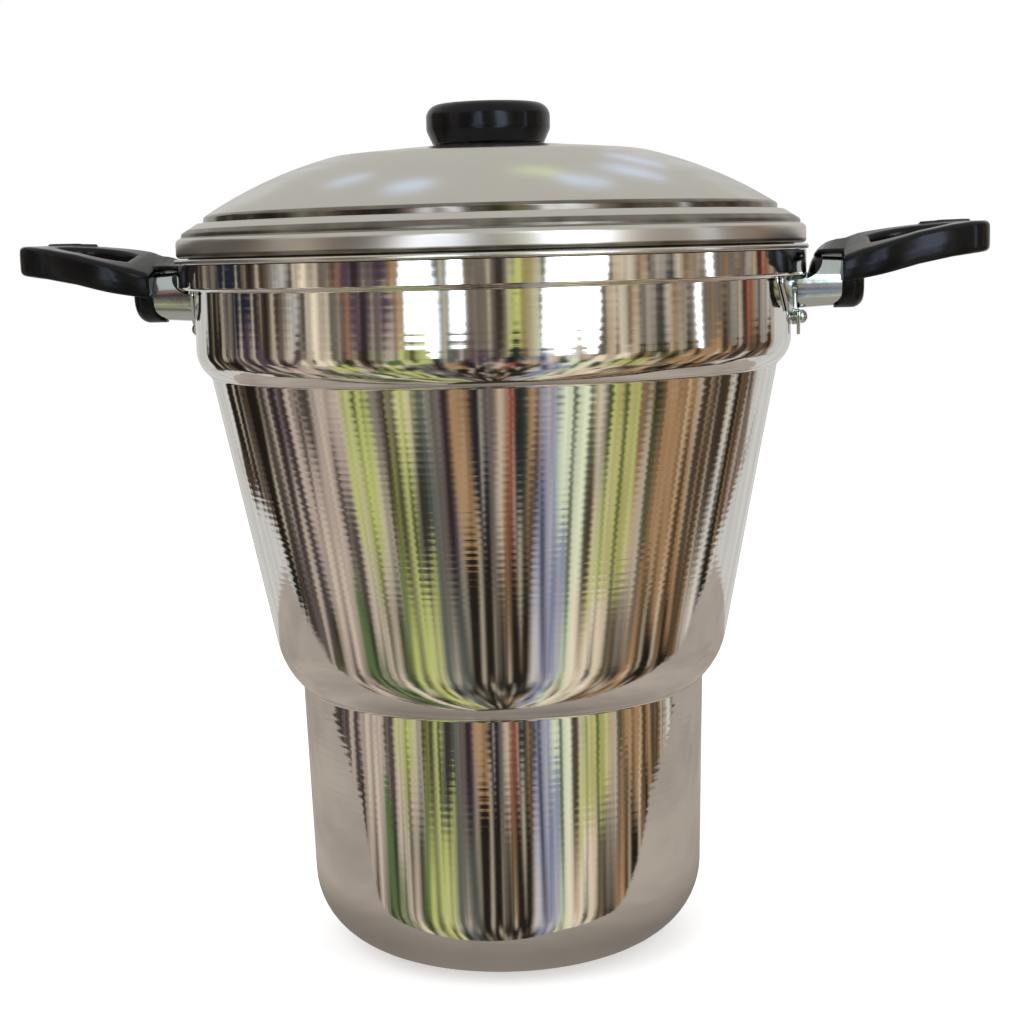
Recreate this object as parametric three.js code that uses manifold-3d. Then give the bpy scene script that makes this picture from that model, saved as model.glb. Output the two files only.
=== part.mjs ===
// A couscoussier of spun aluminium: a tall pot with a narrow foot, a perforated steamer basket
// that hangs from the pot's rim, a domed lid with a round knob, and a loop handle on each side.
// Millimetres, +Z up. The origin is in the middle of the base, and the handles lie on the X axis.
import * as THREE from 'three';
import { mergeVertices } from 'three/addons/utils/BufferGeometryUtils.js';
import Module from 'manifold-3d';

const wasm = await Module();
wasm.setup();

// Facets and clearances
const SPUN_SIDES = 36; // round the pot, the basket and the lid
const KNOB_SIDES = 24;
const TUBE_SIDES = 24;
const SCREW_SIDES = 10;
const HOLE_SIDES = 6;
const BEND_STEPS = 3;
const SEAT_GAP = 0.3; // between two faces that touch
const OVERRUN = 3; // how far a cutting tool runs past what it cuts

// Pot, from the base up
const POT_WALL = 2;
const FOOT_BASE_RADIUS = 91.5;
const FOOT_TOP_RADIUS = 94.7;
const FOOT_HEIGHT = 124.5; // from the base to the crease under the shoulder
const FOOT_BEND = 34; // radius of the corner round the base
const SHOULDER_BEND = 38; // radius of the curve from the cone in to the foot
const SHOULDER_STEP = 11.3; // from the foot out to the bottom of the cone
const CONE_HEIGHT = 124.8;
const COLLAR_RADIUS = 144;
const COLLAR_HEIGHT = 13.5; // from the ledge under the collar to the top of the rim
const LEDGE_WIDTH = 7.2; // from the collar in to the belt
const LEDGE_BEVEL = 1.2;
const BELT_HEIGHT = 27.5; // straight part of the belt
const BELT_STEP = 6.3; // from the belt in to the top of the cone
const BELT_BEND = 15; // radius of the curve from the belt in to the cone

// Steamer basket
const BASKET_WALL = 1.5;
const BASKET_CLEARANCE = 1.2; // between the basket and the pot
const BASKET_FLOOR_RISE = 6; // floor above the bottom of the cone
const BASKET_BEND = 8; // radius of the corner round its floor
const FLANGE_LAP = 1; // beyond the collar
const FLANGE_THICK = 2.3;
const STEAM_HOLE_RADIUS = 2.6;
const STEAM_HOLE_PITCH = 16.5;
const STEAM_HOLE_RINGS = 5;
const HOLES_IN_FIRST_RING = 6;

// Lid, from the rim up
const LID_WALL = 1.4;
const BEAD_INSET = 1.1; // from the edge of the basket's flange in to the bead
const BEAD_HEIGHT = 8.6;
const BEAD_ROUND = 2.8;
const RING_INSET = 2.6; // from the bead in to the ring
const RING_WIDTH = 9.1;
const RING_RISE = 7.2; // from the bead up to the crest of the ring
const RING_BULGE = 0.35;
const GROOVE_WIDTH = 1.3;
const GROOVE_DEPTH = 0.9;
const GROOVE_RISE = 3.2; // from the groove up to the foot of the dome
const DOME_BEND = 195; // radius of the dome's curve, from the groove to the crown
const CROWN_RADIUS = 72;
const CROWN_SLOPE = 14; // degrees, slope of the dome where the crown begins
const CROWN_RISE = 4.3; // from the edge of the crown to the knob's seat
const KNOB_SEAT_RADIUS = 24;
const SKIRT_CLEARANCE = 0.7; // between the lid's skirt and the basket
const SKIRT_DEPTH = 6;

// Knob, its screw and its washer
const KNOB_RADIUS = 28.4;
const KNOB_HEIGHT = 19.2;
const KNOB_FOOT_RADIUS = 25.4;
const KNOB_WIDEST_SHARE = 0.34; // height of the widest place, of the knob's height
const KNOB_SHOULDER_SHARE = 0.7; // height where the shoulder begins
const KNOB_SHOULDER_DROP = 2.6; // from the top to the outer end of the crown
const KNOB_CROWN_SHARE = 0.78; // radius of the knob's crown, of its widest radius
const KNOB_SCREW_RADIUS = 2.4;
const KNOB_SCREW_GRIP = 10; // length of thread inside the knob
const KNOB_SCREW_HEAD_RADIUS = 4.6;
const KNOB_SCREW_HEAD_HEIGHT = 2.8;
const WASHER_RADIUS = 8;
const WASHER_THICK = 1.2;

// Bracket on the pot's wall, from the rim down and from the middle outwards
const BRACKET_SHEET = 1.4;
const WING_WIDTH = 40;
const WING_TOP_DROP = 0.6; // below the ledge
const WING_SIDE_HEIGHT = 3;
const WING_FOOT_WIDTH = 28;
const WING_FOOT_DROP = 29.5; // below the rim
const TONGUE_WIDTH = 7;
const TONGUE_TIP_WIDTH = 2;
const TONGUE_TOP_DROP = 29.6;
const TONGUE_TIP_DROP = 41;
const TONGUE_STANDOFF = 2.7; // from the belt to the back of the tongue
const STUD_RADIUS = 4.5;
const STUD_LENGTH = 7.6;

// Rivets of one bracket
const RIVET_RADIUS = 1.8;
const LOW_RIVET_DROP = 32.9;
const LOW_RIVET_HEAD_RADIUS = 3.1;
const LOW_RIVET_HEAD_HEIGHT = 3.2;
const RIVET_COLLAR_RADIUS = 3.6;
const SIDE_RIVET_SPACING = 15.2;
const SIDE_RIVET_DROP = 20;
const SIDE_RIVET_HEAD_RADIUS = 2.4;
const SIDE_RIVET_HEAD_HEIGHT = 1.2;
const RIVET_END_DEPTH = 0.4; // the shank ends this far inside the wall

// Ferrule, a tapered sleeve round the handle's neck, cut away under the collar
const FERRULE_RADIUS = 11.9; // at the pot
const FERRULE_END_RADIUS = 10.6;
const FERRULE_WALL = 1;
const FERRULE_DROP = 17.2; // its axis below the rim
const FERRULE_REACH = 18.8; // from the collar to its outer end
const FERRULE_SEAT = 3.6; // how far it sits in the handle
const FERRULE_FOOT_GAP = 1; // to the bracket
const RELIEF_RADIUS = 9.8;
const RELIEF_INSET = 2.7; // its centre inside the collar's face
const RELIEF_DROP = 6.2; // its centre below the rim

// Handle, measured outwards from its root and upwards from the ferrule's axis
const LOOP_LENGTH = 65.5;
const LOOP_ROOT_WIDTH = 15.5; // half widths
const LOOP_WIDTH = 23.5;
const LOOP_TIP_WIDTH = 9.5;
const LOOP_CORNER = 17;
const LOOP_FLARE_SHARE = 0.34; // where its sides reach their full width
const BAR_WIDTH = 11.5;
const CROSS_BAR_WIDTH = 22;
const WEB_LENGTH = 12; // from the root to the finger hole
const LOOP_THICK = 13.2;
const LOOP_ROOT_THICK_SHARE = 0.9; // of that thickness, at the root
const LOOP_THICKENING_SHARE = 0.25; // of its length, where it is fully thick
const LOOP_EDGE = 2.6;
const LOOP_ROOT_RISE = 7; // of the middle of the bar
const LOOP_TIP_RISE = 17.8;
const LOOP_ARCH = 2.8; // how far the middle of the loop stands above a straight line
const ROOT_SLOPE = 14; // degrees, across the loop, far side up
const TIP_SLOPE = 2;
const BOSS_RADIUS = 12.1;
const BOSS_LENGTH = 10;
const BOSS_ROUND = 3.5;
const BOSS_LIP = 3.5; // how far it reaches under the ferrule
const BOSS_LIP_DROP = 8.5; // the lip's upper edges, below the axis
const NECK_GAP = 1.5; // between the collar and the neck
const HOOD_GAP = 2.5; // between the collar and the hood
const HOOD_WIDTH = 12.5;
const HOOD_TIP_WIDTH = 7;
const HOOD_ROUND = 5;
const HOOD_SLANT = 4;
const HOOD_FOOT_RISE = 11;
const HOOD_THICK = 3.4; // along its near side
const HOOD_SLOPE = 13; // degrees, across its top where it meets the loop, far side up
const HANDLE_SCREW_RADIUS = 2;
const HANDLE_SCREW_HEAD_RADIUS = 4;
const HANDLE_SCREW_HEAD_HEIGHT = 2.4;
const SCREW_HEAD_DEPTH = 3.2; // of the counterbore in the boss

// Places worked out from the sizes above
const beltRadius = COLLAR_RADIUS - LEDGE_WIDTH;
const coneTopRadius = beltRadius - BELT_STEP;
const coneFootRadius = FOOT_TOP_RADIUS + SHOULDER_STEP;
const coneSlope = Math.atan2(coneTopRadius - coneFootRadius, CONE_HEIGHT);
const shoulderCentreRadius = coneFootRadius - SHOULDER_BEND * Math.cos(coneSlope);
const shoulderEndAngle = Math.acos((FOOT_TOP_RADIUS - shoulderCentreRadius) / SHOULDER_BEND);
const shoulderCentreHeight = FOOT_HEIGHT + SHOULDER_BEND * Math.sin(shoulderEndAngle);
const coneFootHeight = shoulderCentreHeight - SHOULDER_BEND * Math.sin(coneSlope);
const coneTopHeight = coneFootHeight + CONE_HEIGHT;
const beltCentreRadius = beltRadius - BELT_BEND;
const beltEndAngle = Math.acos((coneTopRadius - beltCentreRadius) / BELT_BEND);
const beltCentreHeight = coneTopHeight + BELT_BEND * Math.sin(beltEndAngle);
const ledgeHeight = beltCentreHeight + BELT_HEIGHT;
const rimHeight = ledgeHeight + COLLAR_HEIGHT;
const potTopHeight = rimHeight - FLANGE_THICK - SEAT_GAP;
const basketOuterInset = POT_WALL + BASKET_CLEARANCE;
const basketInnerInset = basketOuterInset + BASKET_WALL;
const basketFloorHeight = coneFootHeight + BASKET_FLOOR_RISE;
const ferruleHeight = rimHeight - FERRULE_DROP;
const ferruleEnd = COLLAR_RADIUS + FERRULE_REACH;
const bossStart = ferruleEnd - FERRULE_SEAT + SEAT_GAP;
const bossEnd = bossStart + BOSS_LENGTH;
const bracketFace = beltRadius + SEAT_GAP + BRACKET_SHEET;
const flangeRadius = COLLAR_RADIUS + FLANGE_LAP;
const beadRadius = flangeRadius - BEAD_INSET;
const ringOuterRadius = beadRadius - RING_INSET;
const ringInnerRadius = ringOuterRadius - RING_WIDTH;

// Materials
const polishedAluminium = { color: 0xcfcdc8, roughness: 0.12, metalness: 1 };
const satinAluminium = { color: 0xb9b6b0, roughness: 0.38, metalness: 1 };
const zincPlate = { color: 0xc3cdcf, roughness: 0.22, metalness: 1 };
const bakelite = { color: 0x141210, roughness: 0.32, metalness: 0 };
const steel = { color: 0x9a9a9c, roughness: 0.3, metalness: 1 };

const group = new THREE.Group();

function addPiece(name, geometry, look) {
  const mesh = new THREE.Mesh(geometry, new THREE.MeshStandardMaterial(look));
  mesh.name = name;
  group.add(mesh);
  return mesh;
}

// Solids and cuts

function toSolid(geometry) {
  const bare = geometry.clone();
  bare.deleteAttribute('normal');
  bare.deleteAttribute('uv');
  const merged = mergeVertices(bare);
  const index = Array.from(merged.index.array);
  const faces = [];
  for (let i = 0; i < index.length; i += 3) {
    const [a, b, c] = index.slice(i, i + 3);
    if (a !== b && b !== c && c !== a) {
      faces.push(a, b, c);
    }
  }
  return new wasm.Manifold(new wasm.Mesh({
    numProp: 3,
    vertProperties: new Float32Array(merged.attributes.position.array),
    triVerts: new Uint32Array(faces),
  }));
}

function toGeometry(solid) {
  const mesh = solid.getMesh();
  const geometry = new THREE.BufferGeometry();
  geometry.setAttribute('position', new THREE.BufferAttribute(mesh.vertProperties, 3));
  geometry.setIndex(new THREE.BufferAttribute(mesh.triVerts, 1));
  return geometry;
}

function cut(solid, geometries) {
  return geometries.reduce((left, next) => left.subtract(toSolid(next)), solid);
}

// Forms that turn about an axis. A profile is a list of [radius, height], run anticlockwise as
// seen with the radius to the right and the height up, and it closes on itself or on the axis.

function spun(profile, sides = SPUN_SIDES) {
  const points = profile.map(([radius, height]) => new THREE.Vector2(radius, height));
  return new THREE.LatheGeometry(points, sides).rotateX(Math.PI / 2);
}

function closed(profile) {
  return [...profile, profile[0]];
}

// The same about the line that runs outwards along +X at the ferrule's height.
function spunOutwards(profile, sides = TUBE_SIDES) {
  return spun(profile, sides).rotateY(Math.PI / 2).translate(0, 0, ferruleHeight);
}

function rod(radius, start, end) {
  return [[0, start], [radius, start], [radius, end], [0, end]];
}

function arc(centreRadius, centreHeight, radius, fromAngle, toAngle, steps = BEND_STEPS) {
  const points = [];
  for (let i = 0; i <= steps; i += 1) {
    const angle = THREE.MathUtils.lerp(fromAngle, toAngle, i / steps);
    points.push([centreRadius + radius * Math.cos(angle), centreHeight + radius * Math.sin(angle)]);
  }
  return points;
}

// The pot's wall from the bottom of the cone to the collar, as far inside the pot's outer face
// as inset says.

function coneFoot(inset) {
  return [
    coneFootRadius - inset * Math.cos(coneSlope),
    coneFootHeight + inset * Math.sin(coneSlope),
  ];
}

function upperWall(inset, top) {
  return [
    [coneTopRadius - inset * Math.cos(coneSlope), coneTopHeight + inset * Math.sin(coneSlope)],
    ...arc(beltCentreRadius, beltCentreHeight, BELT_BEND - inset, -beltEndAngle, 0),
    [beltRadius - inset, ledgeHeight + inset],
    [COLLAR_RADIUS - inset - LEDGE_BEVEL, ledgeHeight + inset],
    [COLLAR_RADIUS - inset, ledgeHeight + inset + LEDGE_BEVEL],
    [COLLAR_RADIUS - inset, top],
  ];
}

function potWall(inset) {
  const bend = SHOULDER_BEND - inset;
  const footCorner = FOOT_BASE_RADIUS - FOOT_BEND;
  const shoulder = arc(shoulderCentreRadius, shoulderCentreHeight, bend, -shoulderEndAngle, -coneSlope);
  return [
    [0, inset],
    ...arc(footCorner, FOOT_BEND, FOOT_BEND - inset, -Math.PI / 2, 0, BEND_STEPS + 2),
    [FOOT_TOP_RADIUS - inset, FOOT_HEIGHT],
    ...(inset > 0 ? shoulder : shoulder.slice(1)),
    ...upperWall(inset, potTopHeight),
  ];
}

function potBody() {
  const shell = toSolid(spun([...potWall(0), ...potWall(POT_WALL).reverse()]));
  return toGeometry(cut(shell, [...rivetHoles(0), ...rivetHoles(Math.PI)]));
}

function rivetHoles(turn) {
  const radius = RIVET_RADIUS + SEAT_GAP;
  const start = beltRadius - POT_WALL - OVERRUN;
  return rivetPlaces().map(([side, drop]) => (
    spunOutwards(rod(radius, start, bracketFace + OVERRUN), SCREW_SIDES)
      .translate(0, side, FERRULE_DROP - drop)
      .rotateZ(turn)
  ));
}

// Steamer basket

function basketWall(inset) {
  const bend = BASKET_BEND - (inset - basketOuterInset);
  const centreHeight = basketFloorHeight + BASKET_BEND;
  const [footRadius, footHeight] = coneFoot(basketOuterInset);
  const along = (centreHeight - footHeight) * Math.tan(coneSlope);
  const centreRadius = footRadius + along - BASKET_BEND / Math.cos(coneSlope);
  return [
    [0, centreHeight - bend],
    ...arc(centreRadius, centreHeight, bend, -Math.PI / 2, -coneSlope, BEND_STEPS - 1),
    ...upperWall(inset, rimHeight),
  ];
}

function steamHoles() {
  const holes = [];
  const depth = BASKET_WALL + 2 * OVERRUN;
  for (let ring = 0; ring <= STEAM_HOLE_RINGS; ring += 1) {
    const count = Math.max(1, HOLES_IN_FIRST_RING * ring);
    for (let i = 0; i < count; i += 1) {
      const angle = (2 * Math.PI * i) / count;
      const radius = ring * STEAM_HOLE_PITCH;
      const hole = new THREE.CylinderGeometry(STEAM_HOLE_RADIUS, STEAM_HOLE_RADIUS, depth, HOLE_SIDES);
      hole.rotateX(Math.PI / 2);
      hole.translate(radius * Math.cos(angle), radius * Math.sin(angle), basketFloorHeight);
      holes.push(hole);
    }
  }
  return holes;
}

function steamerBasket() {
  const outside = basketWall(basketOuterInset).slice(0, -1);
  const inside = basketWall(basketInnerInset).reverse();
  const flangeFoot = rimHeight - FLANGE_THICK;
  const round = FLANGE_THICK / 2;
  const flange = [
    [COLLAR_RADIUS - basketOuterInset, flangeFoot],
    ...arc(flangeRadius - round, rimHeight - round, round, -Math.PI / 2, Math.PI / 2, BEND_STEPS + 1),
  ];
  return toGeometry(cut(toSolid(spun([...outside, ...flange, ...inside])), steamHoles()));
}

// Lid. Its sheet is folded under at the bead, and the fold turns down as a skirt in the basket.

const lidFoot = rimHeight + SEAT_GAP;
const ringFoot = lidFoot + BEAD_HEIGHT;
const ringCrest = ringFoot + RING_RISE;
const grooveFloor = ringCrest - GROOVE_DEPTH;
const domeFootRadius = ringInnerRadius - GROOVE_WIDTH / 2;
const domeFootHeight = grooveFloor + GROOVE_RISE;
const crownAngle = THREE.MathUtils.degToRad(CROWN_SLOPE);
const domeCentreRadius = CROWN_RADIUS - DOME_BEND * Math.sin(crownAngle);
const domeEndAngle = Math.asin((domeFootRadius - domeCentreRadius) / DOME_BEND);
const domeCentreHeight = domeFootHeight - DOME_BEND * Math.cos(domeEndAngle);
const crownEdgeHeight = domeCentreHeight + DOME_BEND * Math.cos(crownAngle);
const knobSeatHeight = crownEdgeHeight + CROWN_RISE;
const skirtRadius = COLLAR_RADIUS - basketInnerInset - SKIRT_CLEARANCE;

function lidDome(inset) {
  const bend = DOME_BEND - inset;
  const fromAngle = Math.PI / 2 - domeEndAngle;
  return arc(domeCentreRadius, domeCentreHeight, bend, fromAngle, Math.PI / 2 - crownAngle, BEND_STEPS + 1);
}

function lidRing(inset) {
  const middle = (ringOuterRadius + ringInnerRadius) / 2;
  return [
    [ringOuterRadius - inset, ringFoot + GROOVE_DEPTH / 2 - inset / 2],
    [middle + RING_BULGE, ringFoot + RING_RISE / 2 + 2 * RING_BULGE - inset],
    [ringInnerRadius, ringCrest - inset],
  ];
}

function lidShell() {
  const bore = KNOB_SCREW_RADIUS + SEAT_GAP;
  const beadInside = beadRadius - LID_WALL;
  const skirtFoot = lidFoot - SEAT_GAP - SKIRT_DEPTH;
  const beadCentre = ringFoot - BEAD_ROUND;
  const outside = [
    [skirtRadius - LID_WALL, skirtFoot],
    [skirtRadius, skirtFoot],
    [skirtRadius, lidFoot],
    [beadRadius - LEDGE_BEVEL, lidFoot],
    [beadRadius, lidFoot + LEDGE_BEVEL],
    ...arc(beadRadius - BEAD_ROUND, beadCentre, BEAD_ROUND, 0, Math.PI / 2, BEND_STEPS - 1),
    ...lidRing(0),
    [domeFootRadius + GROOVE_WIDTH / 2 - GROOVE_DEPTH / 2, grooveFloor],
    [domeFootRadius - GROOVE_DEPTH / 2, grooveFloor],
    ...lidDome(0),
    [KNOB_SEAT_RADIUS, knobSeatHeight],
    [bore, knobSeatHeight],
  ];
  const inside = [
    [bore, knobSeatHeight - LID_WALL],
    [KNOB_SEAT_RADIUS, knobSeatHeight - LID_WALL],
    ...lidDome(LID_WALL).reverse(),
    [domeFootRadius - GROOVE_DEPTH - LID_WALL, grooveFloor - LID_WALL],
    ...lidRing(LID_WALL).reverse(),
    [beadInside, beadCentre],
    [beadInside, lidFoot + LID_WALL],
    [skirtRadius - LID_WALL, lidFoot + LID_WALL],
  ];
  return spun(closed([...outside, ...inside]));
}

// Knob and what holds it

const knobFoot = knobSeatHeight + SEAT_GAP;
const washerTop = knobSeatHeight - LID_WALL - SEAT_GAP;
const knobScrewTop = knobFoot + KNOB_SCREW_GRIP;

function lidKnob() {
  const bore = KNOB_SCREW_RADIUS + SEAT_GAP;
  const boreEnd = knobScrewTop + SEAT_GAP;
  const top = knobFoot + KNOB_HEIGHT;
  const crown = KNOB_RADIUS * KNOB_CROWN_SHARE;
  const shoulder = knobFoot + KNOB_HEIGHT * KNOB_SHOULDER_SHARE;
  const shoulderHeight = top - KNOB_SHOULDER_DROP - shoulder;
  const shoulderWidth = KNOB_RADIUS - crown;
  const rounded = arc(0, 0, 1, 0, Math.PI / 2).map(([across, up]) => [
    crown + shoulderWidth * across,
    shoulder + shoulderHeight * up,
  ]);
  return spun([
    [0, boreEnd],
    [bore, boreEnd],
    [bore, knobFoot],
    [KNOB_FOOT_RADIUS, knobFoot],
    [KNOB_RADIUS, knobFoot + KNOB_HEIGHT * KNOB_WIDEST_SHARE],
    ...rounded,
    [crown / 2, top - KNOB_SHOULDER_DROP / 4],
    [0, top],
  ], KNOB_SIDES);
}

function knobScrew() {
  const headTop = washerTop - WASHER_THICK - SEAT_GAP;
  const headFoot = headTop - KNOB_SCREW_HEAD_HEIGHT;
  return spun([
    [0, headFoot],
    [KNOB_SCREW_HEAD_RADIUS / 2, headFoot],
    [KNOB_SCREW_HEAD_RADIUS, headTop - KNOB_SCREW_HEAD_HEIGHT / 2],
    [KNOB_SCREW_HEAD_RADIUS, headTop],
    [KNOB_SCREW_RADIUS, headTop],
    [KNOB_SCREW_RADIUS, knobScrewTop],
    [0, knobScrewTop],
  ], SCREW_SIDES);
}

function knobWasher() {
  const bore = KNOB_SCREW_RADIUS + SEAT_GAP;
  return spun(closed([
    [bore, washerTop - WASHER_THICK],
    [WASHER_RADIUS, washerTop - WASHER_THICK],
    [WASHER_RADIUS, washerTop],
    [bore, washerTop],
  ]), TUBE_SIDES);
}

// The space that the pot takes, up to where a piece on its belt and one on its collar may reach.
function wallSpace(beltReach) {
  const step = ledgeHeight - SEAT_GAP;
  return spun([
    [0, coneTopHeight],
    [beltReach, coneTopHeight],
    [beltReach, step],
    [COLLAR_RADIUS + SEAT_GAP, step],
    [COLLAR_RADIUS + SEAT_GAP, rimHeight + OVERRUN],
    [0, rimHeight + OVERRUN],
  ]);
}

// An outline in [side, drop below the rim], made solid along X from one radius to another.
function standing(outline, start, end) {
  const shape = new THREE.Shape(outline.map(([side, drop]) => new THREE.Vector2(side, rimHeight - drop)));
  const block = new THREE.ExtrudeGeometry(shape, { depth: end - start, bevelEnabled: false });
  return block.rotateX(Math.PI / 2).rotateZ(Math.PI / 2).translate(start, 0, 0);
}

// Bracket: a shield of sheet metal that lies on the belt, a tapered tongue that stands off the
// wall under the ferrule, and a threaded stud for the handle's screw.

function bracket() {
  const wingTop = COLLAR_HEIGHT + WING_TOP_DROP;
  const tongueBack = beltRadius + TONGUE_STANDOFF;
  const tongueFront = tongueBack + BRACKET_SHEET;
  const tongueFoot = TONGUE_TOP_DROP + BRACKET_SHEET;
  const shieldOutline = [
    [-WING_WIDTH, wingTop],
    [-WING_WIDTH, wingTop + WING_SIDE_HEIGHT],
    [-WING_FOOT_WIDTH, WING_FOOT_DROP],
    [-TONGUE_WIDTH, tongueFoot],
    [TONGUE_WIDTH, tongueFoot],
    [WING_FOOT_WIDTH, WING_FOOT_DROP],
    [WING_WIDTH, wingTop + WING_SIDE_HEIGHT],
    [WING_WIDTH, wingTop],
  ];
  const tongueOutline = [
    [-TONGUE_WIDTH, TONGUE_TOP_DROP],
    [-TONGUE_WIDTH, LOW_RIVET_DROP],
    [-TONGUE_TIP_WIDTH, TONGUE_TIP_DROP],
    [TONGUE_TIP_WIDTH, TONGUE_TIP_DROP],
    [TONGUE_WIDTH, LOW_RIVET_DROP],
    [TONGUE_WIDTH, TONGUE_TOP_DROP],
  ];
  const shelfOutline = [
    [-TONGUE_WIDTH, TONGUE_TOP_DROP],
    [-TONGUE_WIDTH, tongueFoot],
    [TONGUE_WIDTH, tongueFoot],
    [TONGUE_WIDTH, TONGUE_TOP_DROP],
  ];
  const sheet = toSolid(spun(closed([
    [beltRadius, rimHeight - TONGUE_TIP_DROP],
    [bracketFace, rimHeight - TONGUE_TIP_DROP],
    [bracketFace, rimHeight],
    [beltRadius, rimHeight],
  ])));
  const shield = sheet.intersect(toSolid(standing(shieldOutline, 0, bracketFace + OVERRUN)));
  const stud = spunOutwards(rod(STUD_RADIUS, beltRadius, beltRadius + STUD_LENGTH), SCREW_SIDES);
  const rivetCollar = spunOutwards(rod(RIVET_COLLAR_RADIUS, beltRadius, tongueFront), SCREW_SIDES);
  rivetCollar.translate(0, 0, FERRULE_DROP - LOW_RIVET_DROP);
  const whole = shield
    .add(toSolid(standing(shelfOutline, beltRadius, tongueFront)))
    .add(toSolid(standing(tongueOutline, tongueBack, tongueFront)))
    .add(toSolid(rivetCollar))
    .add(toSolid(stud));
  const thread = rod(HANDLE_SCREW_RADIUS + SEAT_GAP, beltRadius - OVERRUN, ferruleEnd);
  const holes = rivetPlaces().map(([side, drop]) => (
    spunOutwards(rod(RIVET_RADIUS + SEAT_GAP, beltRadius - OVERRUN, ferruleEnd), SCREW_SIDES)
      .translate(0, side, FERRULE_DROP - drop)
  ));
  const space = wallSpace(beltRadius + SEAT_GAP);
  return toGeometry(cut(whole, [space, spunOutwards(thread, SCREW_SIDES), ...holes]));
}

// Rivets. The low one holds the tongue, and the pair is covered by the ferrule.

function rivetPlaces() {
  return [
    [0, LOW_RIVET_DROP],
    [-SIDE_RIVET_SPACING / 2, SIDE_RIVET_DROP],
    [SIDE_RIVET_SPACING / 2, SIDE_RIVET_DROP],
  ];
}

function rivet([side, drop], seat, headRadius, headHeight) {
  const shankEnd = Math.sqrt((beltRadius - POT_WALL) ** 2 - side ** 2) + RIVET_END_DEPTH;
  const headFoot = seat + SEAT_GAP;
  const profile = [
    [0, shankEnd],
    [RIVET_RADIUS, shankEnd],
    [RIVET_RADIUS, headFoot],
    [headRadius, headFoot],
    [headRadius, headFoot + headHeight / 4],
    [headRadius * Math.SQRT1_2, headFoot + headHeight * Math.SQRT1_2],
    [0, headFoot + headHeight],
  ];
  return spunOutwards(profile, SCREW_SIDES).translate(0, side, FERRULE_DROP - drop);
}

// A block along Y that clears the collar's lower corner.
function relief() {
  const roller = new THREE.CylinderGeometry(RELIEF_RADIUS, RELIEF_RADIUS, 2 * LOOP_WIDTH, TUBE_SIDES);
  return roller.translate(COLLAR_RADIUS - RELIEF_INSET, 0, rimHeight - RELIEF_DROP);
}

// The solid that the ferrule's outer face bounds, grown by a clearance.
function ferruleSpace(clearance, start, end) {
  return spunOutwards([
    [0, start],
    [FERRULE_RADIUS + clearance, start],
    [FERRULE_END_RADIUS + clearance, end],
    [0, end],
  ]);
}

function ferrule() {
  const start = bracketFace + FERRULE_FOOT_GAP;
  const tube = spunOutwards(closed([
    [FERRULE_RADIUS - FERRULE_WALL, start],
    [FERRULE_RADIUS, start],
    [FERRULE_END_RADIUS, ferruleEnd],
    [FERRULE_END_RADIUS - FERRULE_WALL, ferruleEnd],
  ]));
  return toGeometry(cut(toSolid(tube), [relief()]));
}

// Handle: a flat loop that rises outwards, a boss that takes the ferrule, a hood over the
// ferrule and a neck inside it. Its far side stands higher than its near side, more so at the root.

function bentWithLoop(geometry) {
  const place = geometry.attributes.position;
  const rootSlope = Math.tan(THREE.MathUtils.degToRad(ROOT_SLOPE));
  const tipSlope = Math.tan(THREE.MathUtils.degToRad(TIP_SLOPE));
  for (let i = 0; i < place.count; i += 1) {
    const share = Math.max(0, (place.getX(i) - bossStart) / LOOP_LENGTH);
    const rise = THREE.MathUtils.lerp(0, LOOP_TIP_RISE - LOOP_ROOT_RISE, share);
    const arch = 4 * LOOP_ARCH * share * (1 - share);
    const lean = place.getY(i) * THREE.MathUtils.lerp(rootSlope, tipSlope, share);
    place.setZ(i, place.getZ(i) + rise + arch + lean + ferruleHeight);
  }
  return geometry;
}

function loopOutline(rootWidth, width, tipWidth, root, tip) {
  const shape = new THREE.Shape();
  const flare = THREE.MathUtils.lerp(root, tip, LOOP_FLARE_SHARE);
  const corner = Math.min(LOOP_CORNER, (tip - flare) / 2);
  shape.moveTo(root, -rootWidth);
  shape.quadraticCurveTo(flare, -width, tip - corner, -width);
  shape.quadraticCurveTo(tip, -width, tip, -tipWidth);
  shape.lineTo(tip, tipWidth);
  shape.quadraticCurveTo(tip, width, tip - corner, width);
  shape.quadraticCurveTo(flare, width, root, rootWidth);
  shape.closePath();
  return shape;
}

function handleLoop() {
  const tip = bossStart + LOOP_LENGTH;
  const outline = loopOutline(
    LOOP_ROOT_WIDTH - LOOP_EDGE,
    LOOP_WIDTH - LOOP_EDGE,
    LOOP_TIP_WIDTH,
    bossStart,
    tip - LOOP_EDGE,
  );
  outline.holes.push(loopOutline(
    (LOOP_WIDTH + LOOP_ROOT_WIDTH) / 2 - BAR_WIDTH + LOOP_EDGE,
    LOOP_WIDTH - BAR_WIDTH + LOOP_EDGE,
    (LOOP_WIDTH - BAR_WIDTH) / 2 + LOOP_EDGE,
    bossStart + WEB_LENGTH - LOOP_EDGE,
    tip - CROSS_BAR_WIDTH + LOOP_EDGE,
  ));
  const flat = LOOP_THICK - 2 * LOOP_EDGE;
  const loop = new THREE.ExtrudeGeometry(outline, {
    depth: flat,
    bevelThickness: LOOP_EDGE,
    bevelSize: LOOP_EDGE,
    bevelSegments: 2,
    curveSegments: BEND_STEPS + 1,
  });
  loop.translate(0, 0, -flat / 2);
  const place = loop.attributes.position;
  for (let i = 0; i < place.count; i += 1) {
    const along = (place.getX(i) - bossStart) / (LOOP_LENGTH * LOOP_THICKENING_SHARE);
    const thickness = THREE.MathUtils.lerp(LOOP_ROOT_THICK_SHARE, 1, Math.min(1, along));
    place.setZ(i, LOOP_ROOT_RISE + place.getZ(i) * thickness);
  }
  return toSolid(bentWithLoop(loop)).trimByPlane([1, 0, 0], bossStart);
}

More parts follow.
